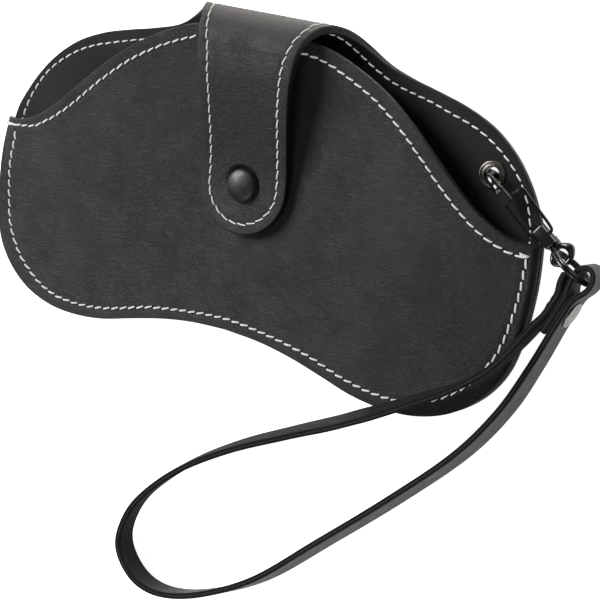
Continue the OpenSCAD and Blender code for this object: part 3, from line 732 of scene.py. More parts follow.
def make_back():
    """The back sheet with the first half of the fold."""
    grid, _ = panel_grid(bottom_edge, both_sides(SHOULDER, panel_along, SHOULDER_CORNER))
    x, run = grid[..., 0], grid[..., 1]
    # the join with the tab, along the straight top, isn't an edge
    corner = SHOULDER_CORNER / (len(SHOULDER) - 1)
    outline = np.concatenate([
        both_sides(SHOULDER, np.linspace(-corner, -1, 300), SHOULDER_CORNER), bottom_edge,
        both_sides(SHOULDER, np.linspace(1, corner, 300), SHOULDER_CORNER)])
    to_edge, _ = line_distance(grid, outline)
    to_sheet, sheet_at = line_distance(grid, sheet_line)
    to_seam, seam_at = line_distance(grid, seam_line)
    dip = pucker(np.minimum(to_sheet, to_seam),
                 np.where(to_sheet < to_seam, sheet_at, seam_at), depth=0.13)
    above = smooth((run + 2) / 4)
    waves = ripple(x, run, 0.1, 9) * smooth((to_edge - 5) / 10) * above * 0.5
    outside, _ = sheet(x, run, dip + bevel(to_edge, 0.4))
    inside, _ = sheet(x, run, SHEET - bevel(to_edge, 0.4) - dip * above + waves - 0.04)
    piece = slab("pouch_back", inside, outside, [lining, outer_leather, wall_paint],
                 grid_points(x, run, 60), grid_points(x, run, 20),
                 np.clip(1 - to_edge / 0.55, 0, 1))
    cut_hole(piece, *GROMMET, radius=2.41, z_low=-2, z_high=12)
    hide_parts("back_outer", "back_lining", "fold_outer", "fold_lining")
    return piece


def make_tab():
    """The tab with the second half of the fold."""
    rows = np.concatenate([np.linspace(FOLD_HALF, FOLD_END, 60),
                           np.linspace(FOLD_END, SNAP_RUN, 130)[1:]])
    angles = np.linspace(90, 180, 200)
    fold_along = np.interp(angles, FOLD_WIDTH[:, 1], np.linspace(0, 1, len(FOLD_WIDTH)))
    fold_half = spline(FOLD_WIDTH, fold_along)[:, 0]
    row_y = np.interp(rows - FOLD_END, tab_run, tab_y)
    half = np.where(rows < FOLD_END,
                    np.interp((rows - FOLD_Y) / FOLD_MID_R * 180 / math.pi, angles, fold_half),
                    TAB_HALF + 1.8 * np.power(np.clip(row_y, 0, FOLD_Y) / FOLD_Y, 3))
    # rounded tip beyond the snap
    turn = np.linspace(0, 89.3, 46)[1:] * math.pi / 180
    tip_rows = SNAP_RUN + (FOLD_END + TAB_LENGTH - SNAP_RUN) * np.sin(turn)
    rows = np.concatenate([rows, tip_rows])
    half = np.concatenate([half, TAB_HALF * np.cos(turn)])
    across = row_places(64, 28.0) * 2 - 1
    x = np.stack([across * width for width in half])
    run = np.broadcast_to(rows[:, None], x.shape)
    grid = np.stack([x, run], -1)
    outline = np.concatenate([np.stack([half, rows], 1), np.stack([-half, rows], 1)[::-1]])
    to_edge, _ = line_distance(grid, outline)
    to_line, line_at = line_distance(grid, sheet_line)
    dip = pucker(to_line, line_at, depth=0.18, width=0.7)
    waves = ripple(x, run, 0.12, 21) * smooth((run - FOLD_END) / 12) * smooth((to_edge - 2) / 4)
    outside, _ = sheet(x, run, dip + bevel(to_edge, 0.45)
                       - 0.05 * bell(to_line - 1.5, 0.8) - waves * 0.6)
    inside, _ = sheet(x, run, SHEET - bevel(to_edge, 0.45) - dip * 0.8)
    # flats under the snap: face, height, inner and outer radius, limit
    for face, *flat in ((outside, 8.98, 5.1, 6.1),
                        (inside, 7.32, 4.6, 5.4, np.maximum)):
        from_snap = np.hypot(face[..., 0], face[..., 1])
        face[..., 2] = np.where(run > FOLD_END + 5, press(from_snap, face[..., 2], *flat),
                                face[..., 2])
    piece = slab("snap_tab", outside, inside, [tab_leather_shaded, lining, wall_paint],
                 grid_points(x, run, 20), grid_points(x, run, 60),
                 np.clip(1 - to_edge / 0.55, 0, 1))
    cut_hole(piece, 0, 0, radius=1.37, z_low=0, z_high=14)
    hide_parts("tab_outer", "tab_lining")
    return piece


front, back, tab = make_front(), make_back(), make_tab()

# ------------------------------------------------------------------ thread
THREAD_SIDES = 10
STITCH_STEPS = 9


def thread(path, radius, along, number, **shape):
    """A tube with its rest coordinates."""
    angles = np.arange(THREAD_SIDES) / THREAD_SIDES * 2 * math.pi
    rest = np.stack([np.repeat(along, THREAD_SIDES), np.tile(angles, len(path)),
                     np.full(THREAD_SIDES * len(path), float(number))], 1)
    return tube(path, radius, THREAD_SIDES, **shape), rest


def hole_plug(centre, normal, radius):
    """Low dark button that stands for a needle hole; its near-black colour is painted shade in
    the hole.
    """
    side = np.cross(normal, [1, 0, 0.2])
    side /= np.linalg.norm(side)
    other = np.cross(normal, side)
    verts, faces, count = [], [], 10
    for ring_radius, height in ((radius, -0.25), (radius, 0.0), (radius * 0.75, 0.05)):
        for i in range(count):
            angle = i / count * 2 * math.pi
            verts.append(centre + normal * height
                         + ring_radius * (math.cos(angle) * side + math.sin(angle) * other))
    verts += [centre + normal * 0.055, centre - normal * 0.25]
    for ring in (0, count):
        for i in range(count):
            j = (i + 1) % count
            faces.append([ring + i, ring + j, ring + count + j, ring + count + i])
    for i in range(count):
        j = (i + 1) % count
        faces += [[2 * count + i, 2 * count + j, 3 * count], [j, i, 3 * count + 1]]
    return verts, faces


def stitches(name, line, place, *, length, radius, rise, slant=0.09, skip_ends=0.6,
             hole_radius=0.36, keep=lambda point: True):
    """Stitches along a plan line. place(points) gives surface points and normals."""
    lengths = arc_lengths(line)
    usable = lengths[-1] - 2 * skip_ends
    count = int(usable / STITCH_PITCH)
    pitch = usable / count
    threads, holes = [], []
    random = np.random.default_rng(len(line))
    t = np.linspace(-0.5, 0.5, STITCH_STEPS)
    middle = STITCH_STEPS // 2
    for k, centre in enumerate(skip_ends + (np.arange(count) + 0.5) * pitch):
        along = t * (length * (1 + random.uniform(-0.05, 0.05)))
        plan = sample(line, lengths, centre + along)
        if not keep(plan[middle]):
            continue
        ahead = plan[-1] - plan[0]
        ahead /= np.linalg.norm(ahead)
        sideways = np.array([-ahead[1], ahead[0]])
        shift = along * (slant + random.uniform(-0.03, 0.03)) + random.uniform(-0.05, 0.05)
        points, normals = place(plan + sideways * shift[:, None])
        if points is None:
            continue
        arch = np.cos(t * math.pi)
        height = rise * np.power(arch, 0.45).clip(0, 1) - 0.28 * np.power(np.abs(t * 2), 6)
        thickness = (radius * (0.72 + 0.28 * np.power(arch.clip(0), 0.4))
                     * (1 + random.uniform(-0.06, 0.06)))
        threads.append(thread(points + normals * (height - 0.02)[:, None], thickness, along, k,
                              up=normals[middle], flat=0.9))
        for end, inner in ((0, 1), (-1, -2)):
            spot = points[end] + (points[end] - points[inner]) * 0.15
            holes.append(hole_plug(spot, normals[end], hole_radius))
    verts, faces = join_parts([part for part, _ in threads] + holes)
    rest = np.concatenate([rest for _, rest in threads] + [plug for plug, _ in holes])
    thread_faces = sum(len(part[1]) for part, _ in threads)
    mat_index = [0] * thread_faces + [1] * (len(faces) - thread_faces)
    piece = new_mesh(name, verts, faces, [white_thread, needle_hole_shade], mat_index, rest)
    return piece


def caster(piece, down=True):
    """A place function that casts rays at a piece from above or below."""
    mesh = piece.data
    tree = BVHTree.FromPolygons([v.co.copy() for v in mesh.vertices],
                                [list(face.vertices) for face in mesh.polygons])
    sign = -1 if down else 1

    def place(plan):
        points, normals = [], []
        for x, y in plan:
            start = Vector((x * MM, y * MM, -0.06 * sign))
            hit, normal, _, _ = tree.ray_cast(start, Vector((0, 0, sign)))
            if hit is None:
                return None, None
            points.append(np.array(hit) * 1000)
            normal = np.array(normal)
            normals.append(-normal if (normal[2] < 0) == down else normal)
        normals = np.array(normals)
        return np.array(points), unit((normals + normals.mean(0)) / 2)
    return place


def on_sheet(outer):
    """A place function for the outer or inner face of the unrolled sheet."""
    def place(plan):
        points, normals = sheet(plan[:, 0], plan[:, 1], 0.13 if outer else SHEET - 0.13)
        return points, (normals if outer else -normals)
    return place


front_top = caster(front)
seam = stitches("stitches_seam_front", seam_line, front_top, skip_ends=0.4, radius=0.27,
                length=2.66, slant=0.22, rise=0.28, hole_radius=0.44)
seam_back = stitches("stitches_seam_back", seam_line, caster(back, down=False), skip_ends=0.4,
                     radius=0.27, length=2.5, slant=-0.06, rise=0.2)
mouth = stitches("stitches_mouth", mouth_line, front_top, skip_ends=0.4, radius=0.265,
                 length=2.7, slant=0.16, rise=0.28, hole_radius=0.4)
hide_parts("seam_thread")
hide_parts("mouth_thread")
for piece in (seam, seam_back, mouth):
    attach(piece, "pouch")


def make_tacks():
    """Two threads wrapped round the left corner and two stitches at the right corner."""
    threads = []
    edge_x = -89.95
    # start y, end y, height above the front
    for y_start, y_end, height in ((1.15, 0.55, 0.30), (1.0, 1.25, 0.62)):
        plan = np.stack([np.linspace(-84.3, -88.9, 9), np.linspace(y_start, y_end, 9)], 1)
        points, normals = front_top(plan)
        top = points + normals * (height * np.concatenate([[-0.3], np.ones(8)]))[:, None]
        top_z = top[-1, 2]
        # (x from the edge, z) down the edge and under the back
        wrap = ((-0.15, top_z - 0.25), (-0.34, top_z - 0.9), (-0.36, 2.6), (-0.34, 0.9),
                (-0.1, 0.12), (0.5, -0.06), (2.0, -0.06), (2.4, 0.3))
        wrap = np.array([[edge_x + x, y_end, z] for x, z in wrap])
        path = resample(spline(np.concatenate([top, wrap]), np.linspace(0, 1, 200)), 0.25)
        threads.append(thread(path, 0.27, np.arange(len(path)) * 0.25, y_end))
    arch = np.cos(np.linspace(-0.5, 0.5, 9) * math.pi).clip(0)
    # y, start x, end x, extra height
    for y, x_start, x_end, extra in ((-0.2, 85.5, 87.8, 0), (-0.72, 87.6, 85.7, 0.2)):
        plan = np.stack([np.linspace(x_start, x_end, 9), y + np.linspace(0.25, -0.1, 9)], 1)
        points, normals = front_top(plan)
        path = points + normals * (0.34 * np.power(arch, 0.4) - 0.1)[:, None] + extra * normals
        threads.append(thread(path, 0.26, np.arange(9) * 0.35, y))
    verts, faces = join_parts([part for part, _ in threads])
    tacks = new_mesh("corner_tacks", verts, faces, [white_thread], None,
                     np.concatenate([rest for _, rest in threads]))
    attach(tacks, "pouch")


make_tacks()


def on_back(point):
    return -50 <= point[1] < FOLD_HALF


def on_tab(point):
    return FOLD_HALF <= point[1] < 999


shoulder = stitches("stitches_shoulder", sheet_line, on_sheet(False), keep=on_back,
                    radius=0.235, length=2.35, rise=0.26, hole_radius=0.3)
shoulder_back = stitches("stitches_shoulder_back", sheet_line, on_sheet(True), keep=on_back,
                         radius=0.235, length=2.4, rise=0.2, slant=-0.06)
tab_top = stitches("stitches_tab", sheet_line, on_sheet(True), keep=on_tab, radius=0.21,
                   length=3.02, rise=0.22, slant=0.14, hole_radius=0.22)
tab_under = stitches("stitches_tab_under", sheet_line, on_sheet(False), keep=on_tab,
                     radius=0.215, length=2.75, rise=0.2, slant=-0.06)
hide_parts("shoulder_thread", "fold_thread")
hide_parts("tab_thread")
for piece in (back, shoulder, shoulder_back):
    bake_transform(piece)
for piece in (tab, tab_top, tab_under):
    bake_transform(piece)

# ------------------------------------------------------------------ snap cap
# (radius, z)
cap_profile = [(0, 9.02), (5.0, 9.02), (5.04, 9.12), (5.06, 9.28), (5.0, 9.42), (4.88, 9.52)]
for k in range(1, 15):
    radius = 4.88 * (1 - k / 14) ** 0.85
    dome = math.sqrt(max(0, 1 - (radius / 5.05) ** 2)) ** 0.85
    cap_profile.append((radius, 9.35 + 1.78 * dome + 0.1))
register(lathe("snap_cap_dome", cap_profile, snap_black), "snap_metal", "tab", "snap_cap")

# ------------------------------------------------------------------ strap
RIVET = np.array([101.0, -12.0])
RIVET_ALONG = np.array([-0.36, -0.933])
RIVET_ACROSS = np.array([0.933, -0.36])
HALF_THICK = 1.85 / 2
CORNER_R = 0.42
# Stations of the band: two plan coordinates, z of the top edge, then half width (5 if not
# given) and lean in degrees (0 if not given). START and END are (along, across) from the
# rivet; LOOP is (x, y).
STRAP_START = [
    (-8.8, -5.25, 12), (-6.2, -4.9, 12), (-4, -3.85, 12), (-2, -3.75, 12), (0, -3.75, 12),
    (2, -3.75, 12), (4, -3.85, 12.3), (6.6, -4.5, 13, 5, 1)]
STRAP_LOOP = [
    (90.9, -23.6, 15.9, 5, 2), (85.4, -31.4, 16.3, 5, 4), (76, -39.4, 17, 5, 6),
    (66.2, -45.8, 17.2, 5, 9), (56.3, -52, 15.8, 5, 12), (48.9, -56.2, 13.8, 5, 13),
    (41.4, -60.3, 11.8, 5, 12), (28.4, -66.8, 10, 5, 10), (10.5, -76.3, 10, 5, 8),
    (-5.2, -87.3, 10, 5, 7), (-17, -100.4, 10, 5, 10), (-20.8, -111.4, 10.1, 5, 12),
    (-18.9, -118.6, 10.1, 5, 10), (-11.8, -124.2, 10.1, 5, 8), (-1.9, -124.8, 10.1, 5, 6),
    (11.2, -120, 10.1, 5, 6), (26.9, -110, 10.1, 5, 7), (43.9, -93.5, 10.1, 5, 8),
    (62, -75.5, 10.1, 5, 8), (78.7, -57.4, 10.1, 5, 7), (88.7, -42.4, 10.4, 5, 5),
    (95, -28.5, 11.2, 5, 2)]
STRAP_END = [
    (6, 0.25, 12), (4, 0.2, 12), (2, 0.2, 12), (0, 0.2, 12), (-2, 0.2, 12), (-4, 0.25, 12),
    (-6, 1.05, 11.7, 4.5), (-8, 1.95, 11.2, 4), (-10.2, 2.1, 11.2, 4), (-12.60, 1.2, 11.2, 4),
    (-13.40, -0.5, 11.2, 4), (-12.50, -2.3, 11.2, 4), (-10.3, -3.15, 11.2, 4),
    (-8, -2.98, 11.3, 4), (-6, -2.5, 11.7, 4.5), (-4, -1.84, 12), (-2, -1.75, 12),
    (0, -1.75, 12), (3, -1.75, 12), (7.2, -1.85, 12)]
STRAP_BEND = STRAP_LOOP[12][:2]         # left end of the loop, where the painted shade turns to painted light


def from_rivet(along, across):
    return RIVET + along * RIVET_ALONG + across * RIVET_ACROSS


def station(x, y, top, half_width=5, lean=0):
    return [x, y, top, half_width, lean]


def near_rivet(rows):
    return [station(*from_rivet(*row[:2]), *row[2:]) for row in rows]


def ease(rows):
    """Smooths the kinks between rows, but not the ends."""
    rows = rows.copy()
    for _ in range(10):
        rows[1:-1] = (rows[:-2] + 2 * rows[1:-1] + rows[2:]) / 4
    return rows


def band_section():
    """Rounded section: (side across, side through, offset across, offset through)."""
    section = []
    for side, face, start in ((1, 1, 0), (-1, 1, 90), (-1, -1, 180), (1, -1, 270)):
        for a in np.radians(np.linspace(start, start + 90, 5)):
            section.append((side, face, CORNER_R * math.cos(a), CORNER_R * math.sin(a)))
        if side == face:                # flat face
            for across in np.linspace(0.8, -0.8, 7) * side:
                section.append((across, face, 0, CORNER_R * face))
        else:                           # middle of a cut edge
            section.append((side, 0, CORNER_R * side, 0))
    return section


def strap_grain_painted_light(arc_start, arc_end):
    """Face of the band, painted paler from arc_start to arc_end: painted shade on the run by
    the pouch, painted light on the far run.
    """
    mat = Shader("strap_grain_painted_light")
    rest = mat.rest()
    grain = mat.noise(mat.mapping(rest, (0.5, 1.1, 1.0)), scale=0.8, detail=4, rough=0.6,
                      warp=0.4)
    fine = mat.noise(rest, scale=4.5, detail=4, rough=0.7)
    patches = mat.noise(mat.mapping(rest, (0.06, 0.25, 1)), scale=1.0, rough=0.6)
    creases = mat.ramp(mat.cells(mat.mapping(rest, (1.6, 2.4, 1))), (0, 0.15))
    # the band is one leather: dark is painted shade on the run by the pouch, pale is painted
    # light on the far run
    run = mat.ramp(mat.axes(rest)[0], (arc_start, arc_end))
    dark = mat.mix(mat.ramp(patches, (0.3, 0.7)), (0.0135, 0.0125, 0.012),
                   (0.0195, 0.0183, 0.0175))
    pale = mat.mix(mat.ramp(patches, (0.3, 0.7)), (0.050, 0.0445, 0.0415),
                   (0.078, 0.070, 0.0655))
    color = mat.mix(run, dark, pale)
    color = mat.mix(mat.ramp(grain, (0.45, 0.75), to=(0, 0.5)), color,
                    (0.0185, 0.0175, 0.0168))
    roughness = mat.ramp(grain, (0.3, 0.7), to=(0.64, 0.82))
    mat.surface({"Base Color": color, "Roughness": mat.mul_add(run, -0.22, roughness),
                 "Specular IOR Level": mat.mul_add(run, 0.34, 0.16)})
    height = mat.mul_add(fine, 0.5, mat.mul_add(creases, 0.25, grain))
    mat.surface({"Normal": mat.bump(height, 0.00012)})
    return mat.material


def strap_raw_edge():
    """Cut edge of the band, with pale dots along its middle."""
    mat = Shader("strap_raw_edge")
    rest = mat.rest()
    through = mat.axes(rest)[2]
    rough = mat.noise(mat.mapping(rest, (1.2, 3, 2)), scale=1.6, detail=5, rough=0.7)
    fine = mat.noise(rest, scale=7.0, rough=0.7)
    wobble = mat.math("ADD", through, mat.mul_add(fine, 0.5, -0.25))
    middle = mat.ramp(mat.math("ABSOLUTE", wobble), (0.0, 0.8), to=(1.0, 0.0))
    dots = mat.ramp(mat.noise(mat.mapping(rest, (2.2, 1, 1)), scale=1.2, rough=0.7),
                    (0.4, 0.52))
    color = mat.mix(mat.math("MULTIPLY", middle, dots), (0.0065, 0.006, 0.0058),
                    (0.082, 0.066, 0.056))
    mat.surface({"Base Color": color, "Roughness": 0.82, "Specular IOR Level": 0.3,
                 "Normal": mat.bump(mat.mul_add(fine, 0.6, rough), 0.0004)})
    return mat.material


def make_strap():
    rows = near_rivet(STRAP_START) + [station(*row) for row in STRAP_LOOP]
    rows = resample(spline(rows + near_rivet(STRAP_END), np.linspace(0, 1, 6000)), 0.6)
    eased = ease(rows)
    rows = 2 * eased - ease(eased)      # undoes the shrinking of the small loop
    plan, top, half_width, lean = rows[:, :2], rows[:, 2], rows[:, 3:4], np.radians(rows[:, 4])
    along = unit(np.gradient(plan, axis=0))
    left = np.stack([-along[:, 1], along[:, 0]], 1)
    sin, cos = np.sin(lean), np.cos(lean)
    upward = np.stack([sin * left[:, 0], sin * left[:, 1], cos], 1)
    through = np.stack([cos * left[:, 0], cos * left[:, 1], -sin], 1)
    # keep the lower edge off the floor
    top = np.maximum(top, 2 * rows[:, 3] * cos + HALF_THICK * np.abs(sin) + 0.06)
    centre = np.stack([rows[:, 0], rows[:, 1], top], 1) - half_width * upward
    arc = arc_lengths(centre)
    section = band_section()
    side, face, off_across, off_through = np.array(section).T
    # thinner round the small loop
    from_loop = np.hypot(*(plan - from_rivet(-10.3, -0.5)).T)
    half_thick = HALF_THICK - 0.14 * smooth((6.5 - from_loop) / 1.8)
    across = side * (half_width - CORNER_R) + off_across
    depth = face * (half_thick[:, None] - CORNER_R) + off_through
    verts = (centre[:, None] + upward[:, None] * across[..., None]
             + through[:, None] * depth[..., None])
    rest = grid_points(arc[:, None], across, depth * 3)
    on_face = (np.abs(face) == 1) & (np.abs(off_across) < CORNER_R * 0.8)
    is_face = on_face & np.roll(on_face, -1) & (face == np.roll(face, -1))
    mat_index = [0 if flat else 1 for flat in is_face] * (len(rows) - 1) + [1, 1]
    bend = arc[int(np.argmin(np.hypot(*(plan - STRAP_BEND).T)))]
    mats = [strap_grain_painted_light(float(bend - 15), float(bend + 45)), strap_raw_edge()]
    band = new_mesh("strap_band", verts.reshape(-1, 3), ring_faces(len(rows), len(section)),
                    mats, mat_index, rest.reshape(-1, 3))
    register(band, "strap_leather", "strap", "wrist_strap")


def make_rivet():
    """Cap and back, on an axis through the thickness of the band."""
    turn = Vector((0, 0, 1)).rotation_difference(Vector((*RIVET_ACROSS, 0))).to_matrix()
    place = Matrix.Translation(Vector((*RIVET, 7))) @ turn.to_4x4()
    outer, inner = 0.2 + HALF_THICK, -3.75 - HALF_THICK
    # (radius, height from the band's face)
    cap = [(0, 0.03), (3.55, 0.03), (3.75, 0.12), (3.82, 0.28), (3.7, 0.46), (3.45, 0.58),
           (3.1, 0.68), (2.5, 0.8), (1.7, 0.9), (0.9, 0.96), (0, 0.98)]
    base = [(0, -0.05), (3.0, -0.05), (3.2, -0.2), (3.2, -0.45), (3.0, -0.6), (2.0, -0.7),
            (0, -0.74)]
    for name, profile, level, replaced in (("rivet_cap", cap, outer, "strap_rivet_cap"),
                                           ("rivet_back", base, inner, "strap_rivet_post")):
        piece = lathe(name, [(r, level + z) for r, z in profile], rivet_silver, place)
        register(piece, "rivet_metal", "strap", replaced)


make_strap()
make_rivet()

# ------------------------------------------------------------------ grommet
EAR_TOP = EAR_LIFT + SHEET
# (radius, height above the ear)
RIM = [(2.02, 0.1), (2.08, 0.32), (2.25, 0.47), (2.45, 0.5), (2.62, 0.42), (2.72, 0.3),
       (2.82, 0.27), (2.93, 0.36), (3.1, 0.52), (3.3, 0.6), (3.5, 0.58), (3.68, 0.42),
       (3.78, 0.2), (3.74, 0.03), (2.4, 0.03)]
barrel_foot = (2.02, EAR_LIFT + 0.02)
rim_profile = [barrel_foot, *((r, EAR_TOP + z) for r, z in RIM), (2.4, EAR_LIFT + 0.02),
               barrel_foot]
rim = lathe("grommet_rim", rim_profile, gunmetal, Matrix.Translation(Vector((*GROMMET, 0))))
register(rim, "hook_metal", "pouch", "grommet_barrel")

# ------------------------------------------------------------------ hook and swivel
# Both are drawn with x along the hook, away from the grommet, y across it and z up.
HOOK_ANGLE = math.radians(-35.3)
BARREL_Z = 3.9


def hook_solid(name, verts, faces):
    x, y, z = np.asarray(verts, float).T
    sin, cos = math.sin(HOOK_ANGLE), math.cos(HOOK_ANGLE)
    placed = np.stack([GROMMET[0] + x * cos - y * sin, GROMMET[1] + x * sin + y * cos, z], 1)
    piece = new_mesh(name, placed, faces, [nickel_rest])
    bm = bmesh.new()
    bm.from_mesh(piece.data)
    bmesh.ops.recalc_face_normals(bm, faces=bm.faces)
    bm.to_mesh(piece.data)
    bm.free()
    return piece


def rounded_box(x_span, y_span, z_span, radius):
    spans = (x_span, y_span, z_span)
    bm = bmesh.new()
    bmesh.ops.create_cube(bm, size=1)
    for v in bm.verts:
        v.co = Vector([(a + b) / 2 + c * (b - a) for c, (a, b) in zip(v.co, spans)])
    bmesh.ops.bevel(bm, geom=list(bm.edges), offset=radius, segments=4, profile=0.5,
                    affect="EDGES")
    bm.verts.ensure_lookup_table()
    verts = [list(v.co) for v in bm.verts]
    faces = [[v.index for v in face.verts] for face in bm.faces]
    bm.free()
    return verts, faces


def turned(profile):
    """A profile of (radius, x) turned about the hook's long axis."""
    verts, faces = revolve(profile, 48)
    return verts[:, [2, 0, 1]] + [0, 0, BARREL_Z], faces


def finish_metal(piece, carrier, replaced):
    register(piece, "hook_metal", carrier, replaced)
    mesh = piece.data
    mesh.polygons.foreach_set("use_smooth", np.full(len(mesh.polygons), True))
    mesh.set_sharp_from_angle(angle=math.radians(32))
    mesh.update()


def make_hook():
    path = [[x, 0, 1.1] for x in np.linspace(24.2, 3.8, 30)]
    path += [[3.5 + 4.15 * math.cos(a), 0, 5.25 + 4.15 * math.sin(a)]
             for a in np.linspace(-math.pi / 2, -1.5 * math.pi, 40)]
    path += [[x, 0, 9.4 + 0.2 * float(smooth((x - 3.8) / 1.6))]
             for x in np.linspace(3.8, 9.4, 18)]
    path = np.array(path + [[9.65, 0, 9.6], [9.78, 0, 9.6], [9.82, 0, 9.6]])
    upper = (path[:, 2] > 9.3) & (path[:, 0] > 4)
    radius = np.where(upper, 0.95 + 0.17 * smooth((path[:, 0] - 3.8) / 1.6), 0.95)
    radius[-3:] = [1.08, 0.96, 0.7]
    verts, faces = tube(path, radius, 32, up=(0, 1, 0))
    # flatten the top of the nose, then widen it
    nose = (verts[:, 0] > 5.2) & (verts[:, 2] > 9.5)
    verts[nose, 2] = np.minimum(verts[nose, 2],
                                9.6 + 1.14 - 0.5 * smooth((verts[nose, 0] - 5.2) / 1.2))
    high = (verts[:, 2] > 7.6) & (verts[:, 0] < 11)
    verts[high, 1] *= 1 + 0.26 * smooth((verts[high, 2] - 7.6) / 1.4)
    hook = hook_solid("hook_forged", verts, faces)
    barrel = turned([(0, 23.4), (1.75, 23.4), (1.92, 23.48), (2.0, 23.66), (2.0, 24.1),
                     (1.86, 24.2), (1.86, 24.45), (2.0, 24.55), (2.0, 25.04), (1.92, 25.22),
                     (1.75, 25.3), (0.8, 25.3), (0.8, 24.6), (1.4, 24.6), (1.4, 23.9),
                     (0, 23.9)])
    block = rounded_box((19.2, 25.3), (-1.65, 1.65), (EAR_TOP + 0.16, EAR_TOP + 1.91), 0.42)
    foot = rounded_box((23.4, 25.3), (-0.95, 0.95), (0.15, 2.4), 0.25)
    barrel, foot, block = (hook_solid("part", *part) for part in (barrel, foot, block))
    # cross hole through the block
    pin = [[22.4 + 0.5 * math.cos(a), y, 6.15 + 0.5 * math.sin(a)]
           for y in (-3, 3) for a in np.arange(32) / 32 * 2 * math.pi]
    pin_faces = [list(range(32)), list(range(32, 64))]
    pin_faces += [[i, (i + 1) % 32, 32 + (i + 1) % 32, 32 + i] for i in range(32)]
    boolean(block, hook_solid("part", pin, pin_faces), "DIFFERENCE")
    for part in (barrel, foot, block):
        boolean(hook, part, "UNION")
    finish_metal(hook, "hook", "hook_body")


def signed_power(value, power):
    return math.copysign(abs(value) ** power, value)


def eye_point(around, section):
    """Point of the oval eye, which is thicker at its two sides."""
    lobe = ((1 - math.cos(2 * around)) / 2) ** 2
    neck = ((1 - math.cos(around)) / 2) ** 6
    outward = max(0.0, math.cos(section)) ** 0.5
    power = 1 - 0.28 * lobe
    out = signed_power(math.cos(section), power)
    radius_x = 2.35 + (0.75 + 0.2 * lobe * outward) * out
    radius_y = 2.35 + (0.75 + 0.78 * lobe * outward) * out
    half_height = 0.75 + 0.68 * lobe * outward + 0.3 * neck
    return [28.5 + radius_x * math.cos(around), radius_y * math.sin(around),
            BARREL_Z + half_height * signed_power(math.sin(section), power)]


def make_swivel():
    """Stem, collar and a deep oval eye."""
    stem = turned([(0, 24.0), (1.2, 24.0), (1.3, 24.08), (1.3, 24.42), (1.2, 24.5),
                   (0.75, 24.5), (0.75, 25.4), (1.45, 25.4), (1.68, 25.5), (1.74, 25.72),
                   (1.68, 25.95), (1.4, 26.1), (1.15, 26.25), (0, 26.25)])
    rings, sides = 64, 24
    verts = [eye_point(a, b) for a in np.arange(rings) / rings * 2 * math.pi
             for b in np.arange(sides) / sides * 2 * math.pi]
    faces = []
    for i in range(rings):
        ring, after = i * sides, (i + 1) % rings * sides
        for j in range(sides):
            k = (j + 1) % sides
            faces.append([ring + j, ring + k, after + k, after + j])
    swivel = hook_solid("swivel_barrel", verts, faces)
    boolean(swivel, hook_solid("part", *stem), "UNION")
    finish_metal(swivel, "swivel", "swivel_eye")


make_hook()
make_swivel()

# ------------------------------------------------------------------ metal that stays as built
for mat, names in ((snap_metal, ("snap_socket", "snap_spring", "snap_stud", "snap_post")),
                   (nickel, ("grommet_washer", "hook_gate", "split_ring"))):
    for name in names:
        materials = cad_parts[name].data.materials
        materials.clear()
        materials.append(mat)


# ------------------------------------------------------------------ floor, light, camera
def make_floor(half=3.0, z=-0.0006):
    mesh = bpy.data.meshes.new("floor")
    mesh.from_pydata([(-half, -half, z), (half, -half, z), (half, half, z), (-half, half, z)],
                     [], [(0, 1, 2, 3)])
    floor = bpy.data.objects.new("floor", mesh)
    bpy.context.scene.collection.objects.link(floor)
    mat = Shader("floor_white")
    patches = mat.noise(mat.object_mm(), scale=0.01)
    color = mat.mix(patches, (0.93, 0.93, 0.93), (0.97, 0.97, 0.97))
    # glows white to the camera, and half as much in reflections
    ray = mat.node("LightPath").outputs
    reflected = mat.math("MULTIPLY", ray["Is Glossy Ray"], 0.5)
    glow = mat.math("MAXIMUM", ray["Is Camera Ray"], reflected)
    mat.surface({"Base Color": color, "Roughness": 0.9, "Specular IOR Level": 0.1,
                 "Emission Color": (1, 1, 1, 1),
                 "Emission Strength": mat.math("MULTIPLY", glow, 0.95)})
    mesh.materials.append(mat.material)


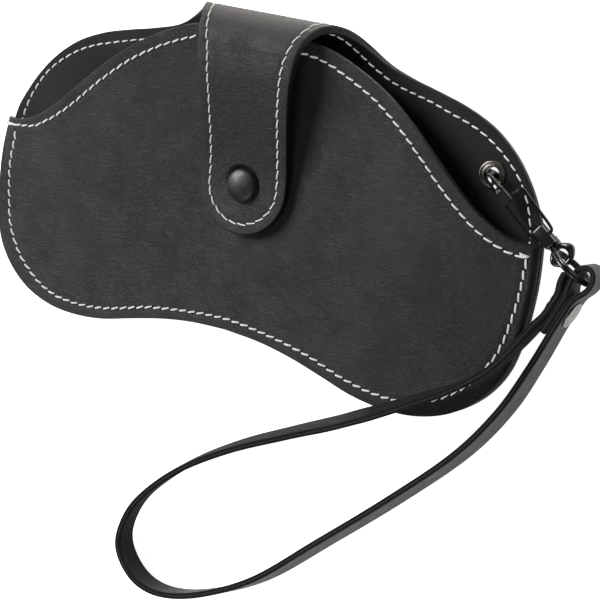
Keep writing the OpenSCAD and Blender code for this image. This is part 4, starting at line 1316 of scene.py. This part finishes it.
def area_light(name, place, target, size, power, color=(1, 1, 1), size_y=None):
    light = bpy.data.lights.new(name, "AREA")
    light.shape = "RECTANGLE"
    light.size = size
    light.size_y = size_y or size
    light.energy = power
    light.color = color
    lamp = bpy.data.objects.new(name, light)
    bpy.context.scene.collection.objects.link(lamp)
    lamp.location = place
    lamp.rotation_mode = "QUATERNION"
    lamp.rotation_quaternion = (Vector(target) - Vector(place)).to_track_quat("-Z", "Y")
    return light


def axis_turn(axis, angle):
    matrix = np.eye(3)
    i, j = (axis + 1) % 3, (axis + 2) % 3
    matrix[i, i] = matrix[j, j] = math.cos(angle)
    matrix[i, j] = -math.sin(angle)
    matrix[j, i] = math.sin(angle)
    return matrix


def make_camera():
    data = bpy.data.cameras.new("camera")
    camera = bpy.data.objects.new("camera", data)
    bpy.context.scene.collection.objects.link(camera)
    data.sensor_width = 36
    data.lens = 95.7701376
    data.clip_start = 0.01
    data.clip_end = 20
    # turn from the world to the camera, in radians, and the origin seen from it, in mm
    turn = (axis_turn(2, -0.18456474437) @ axis_turn(0, 0.17295673893)
            @ axis_turn(1, -0.47985127426))
    origin = np.array([-11.87097, 33.22292, -461.85154])
    place = -turn.T @ origin
    camera.matrix_world = Matrix([[*turn.T[i], place[i] * MM] for i in range(3)]
                                 + [[0, 0, 0, 1]])
    bpy.context.scene.camera = camera


make_floor()
world = bpy.data.worlds.new("world")
bpy.context.scene.world = world
world.use_nodes = True
background = world.node_tree.nodes["Background"]
background.inputs[0].default_value = (1, 1, 1, 1)
background.inputs[1].default_value = 0.09       # strength
area_light("key", (-0.75, 0.30, 0.72), (0, 0, 0), size=0.6, power=13.4)
area_light("fill", (0.15, -0.75, 0.75), (0, -0.02, 0), size=0.7, power=2.6)
area_light("rim", (0.05, 0.9, 0.16), (0, 0.03, 0.012), size=0.7, power=0.5,
           color=(1, 0.93, 0.84), size_y=0.12)
sweep = area_light("sweep", (0.0, 0.15, 0.25), (0.0, 0.125, 0), size=0.10, power=0.20,
                   color=(1, 0.92, 0.82), size_y=0.05)
sweep.spread = math.radians(30)
make_camera()
bpy.context.scene.view_settings.view_transform = "Standard"
